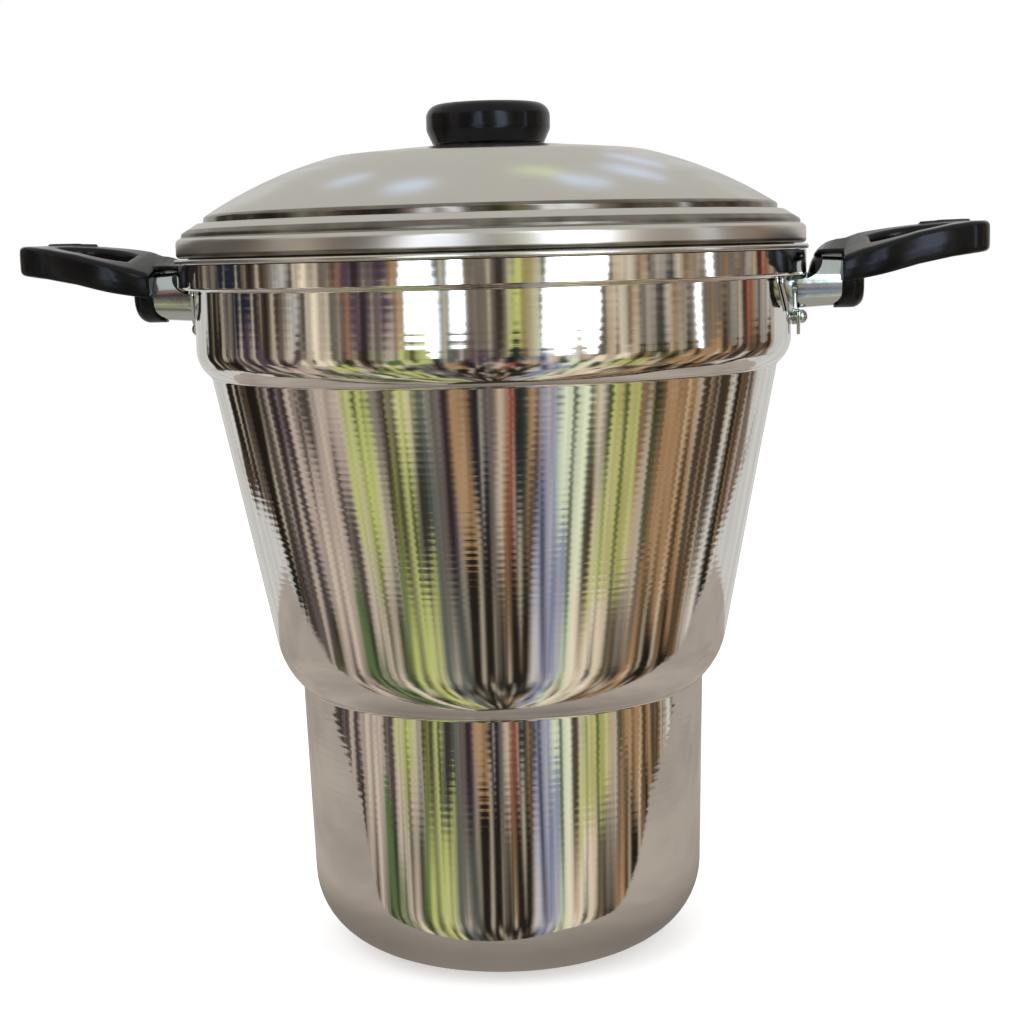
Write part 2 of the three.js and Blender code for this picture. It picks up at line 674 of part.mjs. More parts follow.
function handleHood() {
  const start = COLLAR_RADIUS + HOOD_GAP;
  const end = bossStart + BOSS_ROUND;
  const shape = new THREE.Shape();
  shape.moveTo(start, -HOOD_TIP_WIDTH);
  shape.lineTo(start + HOOD_ROUND, -HOOD_WIDTH);
  shape.lineTo(end, -HOOD_WIDTH);
  shape.lineTo(end, HOOD_WIDTH);
  shape.lineTo(start + HOOD_ROUND, HOOD_WIDTH);
  shape.lineTo(start, HOOD_TIP_WIDTH);
  shape.closePath();
  const hood = new THREE.ExtrudeGeometry(shape, { depth: HOOD_THICK, bevelEnabled: false });
  const place = hood.attributes.position;
  const topSlope = Math.tan(THREE.MathUtils.degToRad(HOOD_SLOPE));
  for (let i = 0; i < place.count; i += 1) {
    const up = place.getZ(i) / HOOD_THICK;
    const along = (place.getX(i) - start) / (end - start);
    place.setZ(i, place.getZ(i) + up * along * (place.getY(i) + HOOD_WIDTH) * topSlope);
    place.setX(i, place.getX(i) + up * (1 - along) * HOOD_SLANT);
  }
  return hood.translate(0, 0, ferruleHeight + HOOD_FOOT_RISE);
}

function handleBoss() {
  const rounded = arc(0, 0, BOSS_ROUND, 0, Math.PI / 2, 2).map(([out, along]) => [
    BOSS_RADIUS - BOSS_ROUND + out,
    bossEnd - BOSS_ROUND + along,
  ]);
  const boss = toSolid(spunOutwards([[0, bossStart], [BOSS_RADIUS, bossStart], ...rounded, [0, bossEnd]]));
  const lip = toSolid(spunOutwards(rod(BOSS_RADIUS, bossStart - BOSS_LIP, bossStart + BOSS_ROUND)));
  const lowDrop = FERRULE_DROP + BOSS_LIP_DROP;
  const low = standing([
    [-BOSS_RADIUS, lowDrop + BOSS_RADIUS],
    [BOSS_RADIUS, lowDrop + BOSS_RADIUS],
    [BOSS_RADIUS, lowDrop],
    [-BOSS_RADIUS, lowDrop],
  ], bossStart - BOSS_LIP - OVERRUN, bossStart + BOSS_ROUND);
  return boss.add(lip.intersect(toSolid(low)));
}

function handle() {
  const neckRadius = FERRULE_END_RADIUS - FERRULE_WALL - SEAT_GAP;
  const neckStart = COLLAR_RADIUS + NECK_GAP;
  const bore = HANDLE_SCREW_RADIUS + SEAT_GAP;
  const headBore = HANDLE_SCREW_HEAD_RADIUS + SEAT_GAP;
  const shape = handleLoop().add(toSolid(handleHood())).add(handleBoss());
  const sleeved = cut(shape, [ferruleSpace(SEAT_GAP, bracketFace + FERRULE_FOOT_GAP, ferruleEnd + SEAT_GAP)]);
  const neck = toSolid(spunOutwards(rod(neckRadius, neckStart, ferruleEnd + OVERRUN)));
  return toGeometry(cut(sleeved.add(neck), [
    spunOutwards(rod(bore, neckStart - OVERRUN, bossEnd + OVERRUN), SCREW_SIDES),
    spunOutwards(rod(headBore, bossEnd - SCREW_HEAD_DEPTH, bossEnd + OVERRUN), SCREW_SIDES),
  ]));
}

function handleScrew() {
  const seat = bossEnd - SCREW_HEAD_DEPTH + SEAT_GAP;
  return spunOutwards([
    [0, bracketFace + SEAT_GAP],
    [HANDLE_SCREW_RADIUS, bracketFace + SEAT_GAP],
    [HANDLE_SCREW_RADIUS, seat],
    [HANDLE_SCREW_HEAD_RADIUS, seat],
    [HANDLE_SCREW_HEAD_RADIUS, seat + HANDLE_SCREW_HEAD_HEIGHT / 2],
    [HANDLE_SCREW_HEAD_RADIUS / 2, seat + HANDLE_SCREW_HEAD_HEIGHT],
    [0, seat + HANDLE_SCREW_HEAD_HEIGHT],
  ], SCREW_SIDES);
}

// The same piece with its two sides swapped
function mirrored(geometry) {
  const place = geometry.attributes.position;
  for (let i = 0; i < place.count; i += 1) {
    place.setY(i, -place.getY(i));
  }
  const index = geometry.index.array;
  for (let i = 0; i < index.length; i += 3) {
    [index[i], index[i + 1]] = [index[i + 1], index[i]];
  }
  return geometry;
}

// Everything on one side of the pot
function addSide(sideName, turn) {
  const [lowPlace, nearPlace, farPlace] = rivetPlaces();
  const tongueFront = beltRadius + TONGUE_STANDOFF + BRACKET_SHEET;
  const lowHead = [LOW_RIVET_HEAD_RADIUS, LOW_RIVET_HEAD_HEIGHT];
  const sideHead = [SIDE_RIVET_HEAD_RADIUS, SIDE_RIVET_HEAD_HEIGHT];
  const pieces = [
    ['handle', turn === 0 ? handle() : mirrored(handle()), bakelite],
    ['ferrule', ferrule(), zincPlate],
    ['bracket', bracket(), zincPlate],
    ['bracket_rivet_low', rivet(lowPlace, tongueFront, ...lowHead), zincPlate],
    ['bracket_rivet_a', rivet(nearPlace, bracketFace, ...sideHead), zincPlate],
    ['bracket_rivet_b', rivet(farPlace, bracketFace, ...sideHead), zincPlate],
    ['handle_screw', handleScrew(), steel],
  ];
  for (const [name, geometry, look] of pieces) {
    addPiece(`${name}_${sideName}`, geometry, look).rotation.z = turn;
  }
}

addPiece('pot_body', potBody(), polishedAluminium);
addPiece('steamer_basket', steamerBasket(), satinAluminium);
addPiece('lid_shell', lidShell(), satinAluminium);
addPiece('lid_knob', lidKnob(), bakelite);
addPiece('knob_screw', knobScrew(), steel);
addPiece('knob_washer', knobWasher(), steel);
addSide('right', 0);
addSide('left', Math.PI);

export default group;
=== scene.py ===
"""Looks of the couscoussier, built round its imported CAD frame. Metres, +Z up, handles along X."""

import math

import bmesh
import bpy
from mathutils import Matrix, Vector
from mathutils import noise as turbulence


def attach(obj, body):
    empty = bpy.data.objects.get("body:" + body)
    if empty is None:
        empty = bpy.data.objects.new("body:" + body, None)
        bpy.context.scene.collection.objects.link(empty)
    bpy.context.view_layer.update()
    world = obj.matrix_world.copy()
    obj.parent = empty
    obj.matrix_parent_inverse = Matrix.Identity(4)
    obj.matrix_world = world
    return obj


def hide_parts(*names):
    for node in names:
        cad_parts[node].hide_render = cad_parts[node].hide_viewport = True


# Pot, from the base up
POT_WALL = 0.002
FOOT_BASE_RADIUS = 0.0915
FOOT_TOP_RADIUS = 0.0947
FOOT_HEIGHT = 0.1245
FOOT_BEND = 0.034
SHOULDER_BEND = 0.038
SHOULDER_STEP = 0.0113
CONE_HEIGHT = 0.1248
COLLAR_RADIUS = 0.144
COLLAR_HEIGHT = 0.0135
LEDGE_WIDTH = 0.0072
LEDGE_BEND = 0.0014
BELT_HEIGHT = 0.0275
BELT_STEP = 0.0063
BELT_BEND = 0.015
CREASE_BEND = 0.0022
# Shares of two bends that are rounded, so that each stops just short of the next one
BELT_BEND_SHARE = 0.995
SHOULDER_BEND_SHARE = 0.99

# Steamer basket
BASKET_WALL = 0.0015
BASKET_CLEARANCE = 0.0012
BASKET_FLOOR_RISE = 0.006
BASKET_BEND = 0.008
FLANGE_LAP = 0.001
FLANGE_THICK = 0.0023
FLANGE_EDGE_SHARE = 0.42
STEAM_HOLE_RADIUS = 0.0026
STEAM_HOLE_PITCH = 0.0165
STEAM_HOLE_RINGS = 5
HOLES_IN_FIRST_RING = 6

# Lid
LID_WALL = 0.0014
BEAD_INSET = 0.0011
BEAD_HEIGHT = 0.0086
BEAD_BEND = 0.0026
BEAD_FOOT_BEND = 0.0019
RING_INSET = 0.0026
RING_RISER = 0.0014
RING_BEND = 0.0016
RING_WIDTH = 0.0091
RING_RISE = 0.0072
RING_CREST_BEND = 0.006
GROOVE_WIDTH = 0.0013
GROOVE_DEPTH = 0.0009
GROOVE_RISE = 0.0032
GROOVE_BEND = 0.0006
DOME_FOOT_BEND = 0.0028
DOME_BEND = 0.195
CROWN_RADIUS = 0.072
CROWN_SLOPE = math.radians(14)
CROWN_RISE = 0.0043
CROWN_BEND = 0.03
KNOB_SEAT_RADIUS = 0.024
SKIRT_CLEARANCE = 0.0007
SKIRT_DEPTH = 0.006

# Knob and what holds it
KNOB_RADIUS = 0.0284
KNOB_HEIGHT = 0.0192
KNOB_FOOT_RADIUS = 0.0254
KNOB_FOOT_BEND = 0.001
KNOB_WIDEST_SHARE = 0.34
KNOB_SIDE_BEND = 0.006
KNOB_TOP_BEND = 0.0062
KNOB_CROWN_DROP = 0.0012
KNOB_SCREW_RADIUS = 0.0024
KNOB_SCREW_GRIP = 0.01
KNOB_SCREW_HEAD_RADIUS = 0.0046
KNOB_SCREW_HEAD_HEIGHT = 0.0028
WASHER_RADIUS = 0.008
WASHER_THICK = 0.0012

# Bracket and rivets
BRACKET_SHEET = 0.0014
WING_WIDTH = 0.04
WING_TOP_DROP = 0.0006
WING_SIDE_HEIGHT = 0.003
WING_FOOT_WIDTH = 0.028
WING_FOOT_DROP = 0.0295
TONGUE_WIDTH = 0.007
TONGUE_TIP_WIDTH = 0.002
TONGUE_TOP_DROP = 0.0296
TONGUE_TIP_DROP = 0.041
TONGUE_STANDOFF = 0.0027
STUD_RADIUS = 0.0045
STUD_LENGTH = 0.0076
RIVET_RADIUS = 0.0018
LOW_RIVET_DROP = 0.0329
LOW_RIVET_HEAD_RADIUS = 0.0031
LOW_RIVET_HEAD_HEIGHT = 0.0032
RIVET_COLLAR_RADIUS = 0.0036
SIDE_RIVET_SPACING = 0.0152
SIDE_RIVET_DROP = 0.02
SIDE_RIVET_HEAD_RADIUS = 0.0024
SIDE_RIVET_HEAD_HEIGHT = 0.0012
RIVET_END_DEPTH = 0.0004
RIVET_RIM_SHARE = 0.2

# Ferrule and handle
FERRULE_RADIUS = 0.0119
FERRULE_END_RADIUS = 0.0106
FERRULE_WALL = 0.001
FERRULE_DROP = 0.0172
FERRULE_REACH = 0.0188
FERRULE_SEAT = 0.0036
FERRULE_FOOT_GAP = 0.001
FERRULE_EDGE = 0.0003
RELIEF_RADIUS = 0.0098
RELIEF_INSET = 0.0027
RELIEF_DROP = 0.0062
BOSS_LENGTH = 0.01
BOSS_RADIUS = 0.0121
BOSS_ROUND = 0.0055
BOSS_LIP = 0.0044
BOSS_LIP_SQUARENESS = 5
LOOP_LENGTH = 0.0655
LOOP_ROOT_WIDTH = 0.0155
LOOP_WIDTH = 0.0233
LOOP_WIDEST_SHARE = 0.42
LOOP_SQUARENESS = 2.6
BAR_WIDTH = 0.0112
CROSS_BAR_WIDTH = 0.017
WEB_LENGTH = 0.0135
HOLE_SHARES = (0.1, 0.94)
LOOP_THICK = 0.0132
LOOP_EDGE = 0.0023
LOOP_RIDGE_SHARE = 0.02
LIP_SHARES = (0.56, 0.9)
LIP_RISE = 0.001
LIP_WIDTH = 0.0016
# Share of the loop's length, height of its top over the ferrule's axis, how much higher its far
# side is than its near side, and its thickness
LOOP_PLACES = [
    (0.0, 0.0149, 0.0122, 0.0118), (0.13, 0.0178, 0.0095, 0.0132),
    (0.28, 0.0199, 0.0068, 0.0139), (0.5, 0.0227, 0.0038, 0.0141),
    (0.72, 0.0246, 0.0018, 0.0142), (0.87, 0.0253, 0.0007, 0.0142),
    (1.0, 0.0253, 0.0002, 0.0136),
]
# Distance from the collar and height of the hood's far edge over the ferrule's axis
HOOD_PLACES = [
    (0.0034, 0.0122), (0.005, 0.0142), (0.0072, 0.0162), (0.0095, 0.0177),
    (0.0125, 0.0187), (0.0155, 0.0193), (0.0195, 0.0195), (0.024, 0.0192),
]
HOOD_NEAR_WIDTH = 0.0035
HOOD_FAR_WIDTH = 0.0128
HOOD_NEAR_RISE = 0.0144
HOOD_THICK = 0.0016
HOOD_TIP_SHARE = 0.55
# Distance from the collar and radius of the root that shows in the ferrule's relief
ROOT_PLACES = [
    (0.0005, 0.0035), (0.0012, 0.0066), (0.0019, 0.0088), (0.0027, 0.0104), (0.0036, 0.0116),
]
HANDLE_SCREW_RADIUS = 0.002
HANDLE_SCREW_HEAD_RADIUS = 0.004
HANDLE_SCREW_HEAD_HEIGHT = 0.0024
SCREW_HEAD_DEPTH = 0.0032
HANDLE_VOXEL = 0.0005
HANDLE_SMOOTHING = 8

# Fineness
SEAT_GAP = 0.0003
SPUN_SIDES = 288
BASKET_SIDES = 192
TURNED_SIDES = 96
SMALL_SIDES = 32
HOLE_SIDES = 20
HEAD_STEPS = 8
LOOP_STEPS = 60
LOOP_HOLE_STEPS = 40
LIP_STEPS = 12
PLATE_EDGE_STEPS = 4
SHEET_EDGE_STEPS = 2
BEND_STEP = math.radians(6)
LONGEST_STEP = 0.004
SHEET_STEP = 0.002
SAME_POINT = 1e-7
SMOOTH_ANGLE = math.radians(32)
CLEARANCE = 0.002

# The photograph's camera, in its 1024 pixel frame
PHOTO_SIZE = 1024
FOCAL_PIXELS = 1850
SENSOR = 36
EYE_DISTANCE = 0.865
EYE_OVER_RIM = 0.0005
EYE_TURN = math.radians(7.5)
EYE_PAN = math.radians(-0.413)
EYE_PITCH = math.radians(8.06)
EYE_ROLL = math.radians(1.52)
NEAREST_SEEN = 0.002

# Stage
WHITE = (1, 1, 1, 1)
PAPER = (0.8, 0.8, 0.8, 1)
FLOOR_GLOW = 0.5
FLOOR_SIZE = 12
LAMP_SIZE = 1.6
LAMPS = {
    "key_lamp": ((-0.9, -1.3, 1.7), 16),
    "fill_lamp": ((1.4, -0.9, 1.2), 8),
    "back_lamp": ((0.2, 1.6, 1.5), 8),
}

# Places worked out from the sizes above
belt_radius = COLLAR_RADIUS - LEDGE_WIDTH
cone_top_radius = belt_radius - BELT_STEP
cone_foot_radius = FOOT_TOP_RADIUS + SHOULDER_STEP
cone_slope = math.atan2(cone_top_radius - cone_foot_radius, CONE_HEIGHT)
shoulder_radius = cone_foot_radius - SHOULDER_BEND * math.cos(cone_slope)
shoulder_angle = math.acos((FOOT_TOP_RADIUS - shoulder_radius) / SHOULDER_BEND)
shoulder_height = FOOT_HEIGHT + SHOULDER_BEND * math.sin(shoulder_angle)
cone_foot_height = shoulder_height - SHOULDER_BEND * math.sin(cone_slope)
cone_top_height = cone_foot_height + CONE_HEIGHT
belt_angle = math.acos((cone_top_radius - belt_radius + BELT_BEND) / BELT_BEND)
ledge_height = cone_top_height + BELT_BEND * math.sin(belt_angle) + BELT_HEIGHT
rim_height = ledge_height + COLLAR_HEIGHT
pot_top_height = rim_height - FLANGE_THICK - SEAT_GAP
basket_outer_inset = POT_WALL + BASKET_CLEARANCE
basket_inner_inset = basket_outer_inset + BASKET_WALL
basket_floor_height = cone_foot_height + BASKET_FLOOR_RISE
ferrule_height = rim_height - FERRULE_DROP
ferrule_end = COLLAR_RADIUS + FERRULE_REACH
boss_start = ferrule_end - FERRULE_SEAT + SEAT_GAP
boss_end = boss_start + BOSS_LENGTH
bracket_face = belt_radius + SEAT_GAP + BRACKET_SHEET
flange_radius = COLLAR_RADIUS + FLANGE_LAP
bead_radius = flange_radius - BEAD_INSET
ring_outer_radius = bead_radius - RING_INSET
ring_inner_radius = ring_outer_radius - RING_WIDTH
lid_foot = rim_height + SEAT_GAP
ring_foot = lid_foot + BEAD_HEIGHT
ring_crest = ring_foot + RING_RISE
groove_floor = ring_crest - GROOVE_DEPTH
dome_foot_radius = ring_inner_radius - GROOVE_WIDTH / 2 - GROOVE_DEPTH / 2
dome_foot_height = groove_floor + GROOVE_RISE
skirt_radius = COLLAR_RADIUS - basket_inner_inset - SKIRT_CLEARANCE
hood_tip_length = HOOD_PLACES[2][0] - HOOD_PLACES[0][0]


# Outlines. A corner is (radius, height) where it is sharp, or else (radius, height, bend).

def rounded(corners):
    """Points along the outline through the corners, each rounded by its bend."""
    points = []
    for i, (radius, height, *bends) in enumerate(corners):
        here = Vector((radius, height))
        if not any(bends) or i in (0, len(corners) - 1):
            points.append(here)
            continue
        bend = bends[0]
        before = (Vector(corners[i - 1][:2]) - here).normalized()
        after = (Vector(corners[i + 1][:2]) - here).normalized()
        half = before.angle(after) / 2
        centre = here + (before + after).normalized() * (bend / math.sin(half))
        start = here + before * (bend / math.tan(half)) - centre
        end = here + after * (bend / math.tan(half)) - centre
        start_angle = math.atan2(start.y, start.x)
        turn = math.remainder(math.atan2(end.y, end.x) - start_angle, 2 * math.pi)
        steps = max(2, math.ceil(abs(turn) / BEND_STEP))
        for k in range(steps + 1):
            angle = start_angle + turn * k / steps
            points.append(centre + bend * Vector((math.cos(angle), math.sin(angle))))
    return stepped(points)


def stepped(points):
    """The same outline with its long straight runs divided."""
    fine = [points[0]]
    for a, b in zip(points, points[1:]):
        if (b - a).length < SAME_POINT:
            continue
        steps = max(1, math.ceil((b - a).length / LONGEST_STEP))
        fine += [a.lerp(b, k / steps) for k in range(1, steps + 1)]
    return fine


def tangent_corner(radius, height, start_angle, end_angle, bend):
    """Where the tangents at the two ends of an arc meet; the arc starts at radius, height."""
    reach = bend * math.tan((end_angle - start_angle) / 2)
    return radius - reach * math.sin(start_angle), height + reach * math.cos(start_angle)


def upper_wall(inset, top):
    """The pot's wall above the cone, inset from its outer face."""
    foot_radius = cone_top_radius - inset * math.cos(cone_slope)
    foot_height = cone_top_height + inset * math.sin(cone_slope)
    bend = BELT_BEND - inset
    corner = tangent_corner(foot_radius, foot_height, -belt_angle, 0, bend)
    return [
        (foot_radius, foot_height, CREASE_BEND + inset),
        (belt_radius - inset, corner[1], bend * BELT_BEND_SHARE),
        (belt_radius - inset, ledge_height + inset, CREASE_BEND / 2 + inset),
        (COLLAR_RADIUS - inset, ledge_height + inset, max(LEDGE_BEND - inset, SEAT_GAP)),
        (COLLAR_RADIUS - inset, top),
    ]


def pot_wall(inset):
    bend = SHOULDER_BEND - inset
    foot_radius = FOOT_TOP_RADIUS - inset
    corner = tangent_corner(foot_radius, FOOT_HEIGHT, -shoulder_angle, -cone_slope, bend)
    return rounded([
        (0, inset), (FOOT_BASE_RADIUS - inset, inset, FOOT_BEND - inset),
        (foot_radius, FOOT_HEIGHT, CREASE_BEND + inset),
        (*corner, bend * SHOULDER_BEND_SHARE),
        *upper_wall(inset, pot_top_height),
    ])


def basket_wall(inset, top):
    bend = BASKET_BEND + basket_outer_inset - inset
    floor = basket_floor_height + inset - basket_outer_inset
    foot = cone_foot_radius - inset * math.cos(cone_slope)
    radius = foot + (floor - cone_foot_height - inset * math.sin(cone_slope)) * math.tan(cone_slope)
    return [(0, floor), (radius, floor, bend), *upper_wall(inset, top)]


def dome(inset):
    """The lid's dome from its foot up to the crown's edge, inset from its outer face."""
    centre_radius = CROWN_RADIUS - DOME_BEND * math.sin(CROWN_SLOPE)
    end_angle = math.asin((dome_foot_radius - centre_radius) / DOME_BEND)
    centre_height = dome_foot_height - DOME_BEND * math.cos(end_angle)
    steps = math.ceil((end_angle - CROWN_SLOPE) * DOME_BEND / LONGEST_STEP)
    reach = DOME_BEND - inset
    angles = [end_angle + (CROWN_SLOPE - end_angle) * k / steps for k in range(steps + 1)]
    return [(centre_radius + reach * math.sin(a), centre_height + reach * math.cos(a)) for a in angles]


crown_edge_height = dome(0)[-1][1]
knob_seat_height = crown_edge_height + CROWN_RISE
knob_foot = knob_seat_height + SEAT_GAP
washer_top = knob_seat_height - LID_WALL - SEAT_GAP
knob_screw_top = knob_foot + KNOB_SCREW_GRIP


def lid_outline():
    bore = KNOB_SCREW_RADIUS + SEAT_GAP
    skirt_foot = lid_foot - SEAT_GAP - SKIRT_DEPTH
    skirt_inside = skirt_radius - LID_WALL
    bead_inside = bead_radius - LID_WALL
    ring_inside = ring_outer_radius - LID_WALL
    seat_inside = knob_seat_height - LID_WALL
    inner = LID_WALL / 2
    outer_dome = dome(0)
    inner_dome = dome(LID_WALL)
    return rounded([
        (skirt_inside, skirt_foot), (skirt_radius, skirt_foot),
        (skirt_radius, lid_foot), (bead_radius, lid_foot, BEAD_FOOT_BEND),
        (bead_radius, ring_foot, BEAD_BEND),
        (ring_outer_radius, ring_foot + GROOVE_DEPTH / 2, RING_BEND / 2),
        (ring_outer_radius, ring_foot + RING_RISER + GROOVE_DEPTH, RING_BEND),
        (ring_inner_radius + GROOVE_WIDTH, ring_crest, RING_CREST_BEND / 3),
        (ring_inner_radius - GROOVE_DEPTH / 2, groove_floor, GROOVE_BEND / 2),
        (dome_foot_radius, groove_floor, GROOVE_BEND / 2),
        (*outer_dome[0], DOME_FOOT_BEND / 2),
        *outer_dome[1:-1],
        (*outer_dome[-1], CROWN_BEND),
        (KNOB_SEAT_RADIUS, knob_seat_height, CROWN_BEND), (bore, knob_seat_height),
        (bore, seat_inside), (KNOB_SEAT_RADIUS, seat_inside, CROWN_BEND),
        (*inner_dome[-1], CROWN_BEND),
        *reversed(inner_dome[1:-1]),
        inner_dome[0],
        (dome_foot_radius - LID_WALL, groove_floor - LID_WALL, inner),
        (ring_inner_radius, ring_crest - LID_WALL, inner),
        (ring_inside, ring_foot + RING_RISER - inner, inner),
        (ring_inside, ring_foot - inner, inner),
        (bead_inside, ring_foot - LID_WALL, inner),
        (bead_inside, lid_foot + LID_WALL, inner),
        (skirt_inside, lid_foot + LID_WALL, inner), (skirt_inside, skirt_foot),
    ])[:-1]


def knob_outline():
    bore = KNOB_SCREW_RADIUS + SEAT_GAP
    top = knob_foot + KNOB_HEIGHT
    widest = knob_foot + KNOB_HEIGHT * KNOB_WIDEST_SHARE
    return rounded([
        (0, knob_screw_top + SEAT_GAP), (bore, knob_screw_top + SEAT_GAP),
        (bore, knob_foot), (KNOB_FOOT_RADIUS, knob_foot, KNOB_FOOT_BEND),
        (KNOB_RADIUS, widest, KNOB_SIDE_BEND),
        (KNOB_RADIUS, top - KNOB_CROWN_DROP, KNOB_TOP_BEND), (0, top),
    ])


def rod_outline(radius, start, end, edge=0):
    return rounded([(0, start), (radius, start, edge), (radius, end, edge), (0, end)])


def screw_outline(radius, end, seat, head_radius, head_height):
    """A screw from the end of its shank. Its head is on the seat, on the side away from the end."""
    head_end = seat + math.copysign(head_height, seat - end)
    return rounded([
        (0, end), (radius, end), (radius, seat), (head_radius, seat),
        (head_radius, head_end, head_height / 2), (0, head_end),
    ])


def tube_outline(inner, outer, start, end, edge):
    return rounded([
        ((inner + outer) / 2, start, 0),
        (outer, start, edge), (outer, end, edge), (inner, end, edge),
        (inner, start, edge),
        ((inner + outer) / 2, start, 0),
    ])[:-1]


# Meshes

def new_object(name, data):
    obj = bpy.data.objects.new(name, data)
    bpy.context.scene.collection.objects.link(obj)
    return obj


def object_of(name, shape):
    """An object that holds a bmesh, which is used up."""
    mesh = bpy.data.meshes.new(name)
    shape.to_mesh(mesh)
    shape.free()
    return new_object(name, mesh)


def smooth(obj, angle=SMOOTH_ANGLE):
    obj.data.shade_smooth()
    obj.data.set_sharp_from_angle(angle=angle)
    return obj


def make_object(name, verts, faces):
    mesh = bpy.data.meshes.new(name)
    mesh.from_pydata([tuple(v) for v in verts], [], faces)
    mesh.validate()
    mended = bmesh.new()
    mended.from_mesh(mesh)
    bmesh.ops.remove_doubles(mended, verts=mended.verts, dist=SAME_POINT)
    bmesh.ops.recalc_face_normals(mended, faces=mended.faces)
    mended.to_mesh(mesh)
    mended.free()
    return smooth(new_object(name, mesh))


def final_mesh(obj):
    """The mesh of a curve, or of an object with its modifiers made final."""
    depsgraph = bpy.context.evaluated_depsgraph_get()
    return bpy.data.meshes.new_from_object(obj.evaluated_get(depsgraph))


def applied(obj):
    """The object with its modifiers made final."""
    mesh = final_mesh(obj)
    obj.modifiers.clear()
    obj.data = mesh
    return obj


def wrapped_faces(rows, columns, is_ring=False):
    """Faces between rows of points that go round, and in a ring also from the last to the first."""
    faces = []
    for row in range(rows if is_ring else rows - 1):
        low, high = row * columns, (row + 1) % rows * columns
        for k in range(columns):
            beside = (k + 1) % columns
            faces.append((low + k, low + beside, high + beside, high + k))
    return faces


def spun(name, outline, sides=SPUN_SIDES, is_ring=False):
    """A solid turned about Z. An outline that isn't a ring starts and ends on the axis."""
    turns = [2 * math.pi * k / sides for k in range(sides)]
    verts = [(radius * math.cos(turn), radius * math.sin(turn), height)
             for radius, height in outline for turn in turns]
    return make_object(name, verts, wrapped_faces(len(outline), sides, is_ring))


def spun_outwards(name, outline, sides=TURNED_SIDES, is_ring=False, side=0, drop=FERRULE_DROP):
    """The same about a line along +X, at side along Y and drop below the rim."""
    obj = spun(name, outline, sides, is_ring)
    place = Matrix.Translation((0, side, rim_height - drop)) @ Matrix.Rotation(math.pi / 2, 4, "Y")
    obj.data.transform(place)
    return obj


def round_face(radius, side):
    """The X of a round face of that radius, at side along Y."""
    return math.sqrt(radius ** 2 - side ** 2)


def sheet(name, half, place):
    """A plate that is alike on both sides. half has its left outline from the top, in (side, drop),
    and place gives the X of its back and front."""
    outline = half + [(-side, drop) for side, drop in reversed(half)]
    flat = bmesh.new()
    flat.faces.new([flat.verts.new((0, side, rim_height - drop)) for side, drop in outline])
    lowest = min(side for side, drop in outline)
    cuts = math.ceil(-2 * lowest / SHEET_STEP)
    for k in range(1, cuts):
        geometry = flat.verts[:] + flat.edges[:] + flat.faces[:]
        side = lowest - 2 * lowest * k / cuts
        bmesh.ops.bisect_plane(flat, geom=geometry, plane_co=(0, side, 0), plane_no=(0, 1, 0))
    fronts = bmesh.ops.extrude_face_region(flat, geom=flat.faces[:])["geom"]
    fronts = {v for v in fronts if isinstance(v, bmesh.types.BMVert)}
    for v in flat.verts:
        v.co.x = place(v.co.y)[1 if v in fronts else 0]
    bmesh.ops.recalc_face_normals(flat, faces=flat.faces)
    obj = object_of(name, flat)
    bevel = obj.modifiers.new("edge", "BEVEL")
    bevel.width = FERRULE_EDGE
    bevel.segments = SHEET_EDGE_STEPS
    bevel.limit_method = "ANGLE"
    return smooth(applied(obj))


def cut_by(obj, cutter, operation="DIFFERENCE"):
    """obj without what the cutter takes away; the cutter is used up."""
    boolean = obj.modifiers.new("cut", "BOOLEAN")
    boolean.operation = operation
    boolean.solver = "EXACT"
    boolean.object = cutter
    bpy.context.view_layer.update()
    applied(obj)
    bpy.data.objects.remove(cutter)
    return smooth(obj)


def mirror_copy(obj, name):
    """The same piece on the other side of the pot."""
    mesh = obj.data.copy()
    mesh.transform(Matrix.Scale(-1, 4, (1, 0, 0)))
    mesh.flip_normals()
    mesh.name = name
    return new_object(name, mesh)


def joined(name, pieces):
    """One object that holds the meshes of all the pieces, which are used up."""
    whole = bmesh.new()
    for piece in pieces:
        whole.from_mesh(piece.data)
        bpy.data.objects.remove(piece)
    return object_of(name, whole)


def placed(table, at):
    """The row of a table at a place between its rows."""
    for low, high in zip(table, table[1:]):
        if at <= high[0]:
            break
    share = min(1, max(0, (at - low[0]) / (high[0] - low[0])))
    return [a + (b - a) * share for a, b in zip(low[1:], high[1:])]


# Materials

# Patterns have a scale per metre, a detail, and where needed a roughness and a stretch.
FINE_LINES = (2600, 3)
COARSE_LINES = (180, 2)
SMEARS = (26, 4, 0.6, (1, 1, 2.5))
WANDER = (9, 1)
PATCHES = (17, 1)
# Breaks up the grime and painted shade on the lid
GRIME_AND_SHADE_NOISE = (60, 3)
BAKELITE_CLOUD = (60, 3)
BAKELITE_GRAIN = (900, 2)
BAKELITE_SCUFFS = (140, 5, 0.7)
PLATE_CLOUD = (110, 3)
PLATE_LINES = (420, 3, 0.6, (1, 0.12, 1))
CLOTH_FOLDS = (7, 3, 0.6, (1, 0.4, 1))
WALL_STREAKS = (60, 4, 0.7, (1, 1, 0.05))
SKY_WOBBLE = (7, 3, 0.55)

# How deep the patterns go, in metres
FINE_DEPTH = 0.000004
COARSE_DEPTH = 0.00001
COMB_DEPTH = 0.00001
WANDER_DEPTH = 0.0002
BAKELITE_CLOUD_DEPTH = 0.0002
BAKELITE_GRAIN_DEPTH = 0.000012
PLATE_CLOUD_DEPTH = 0.0001
PLATE_LINE_DEPTH = 0.000006

# How far a colour or a roughness varies, as shares of itself
LINE_TINTS = 0.05
SMEAR_TINTS = 0.14
PLATE_TINTS = 0.1
SPUN_ROUGHNESS = (0.75, 1.5)
PLATE_ROUGHNESS = (0.7, 1.4)

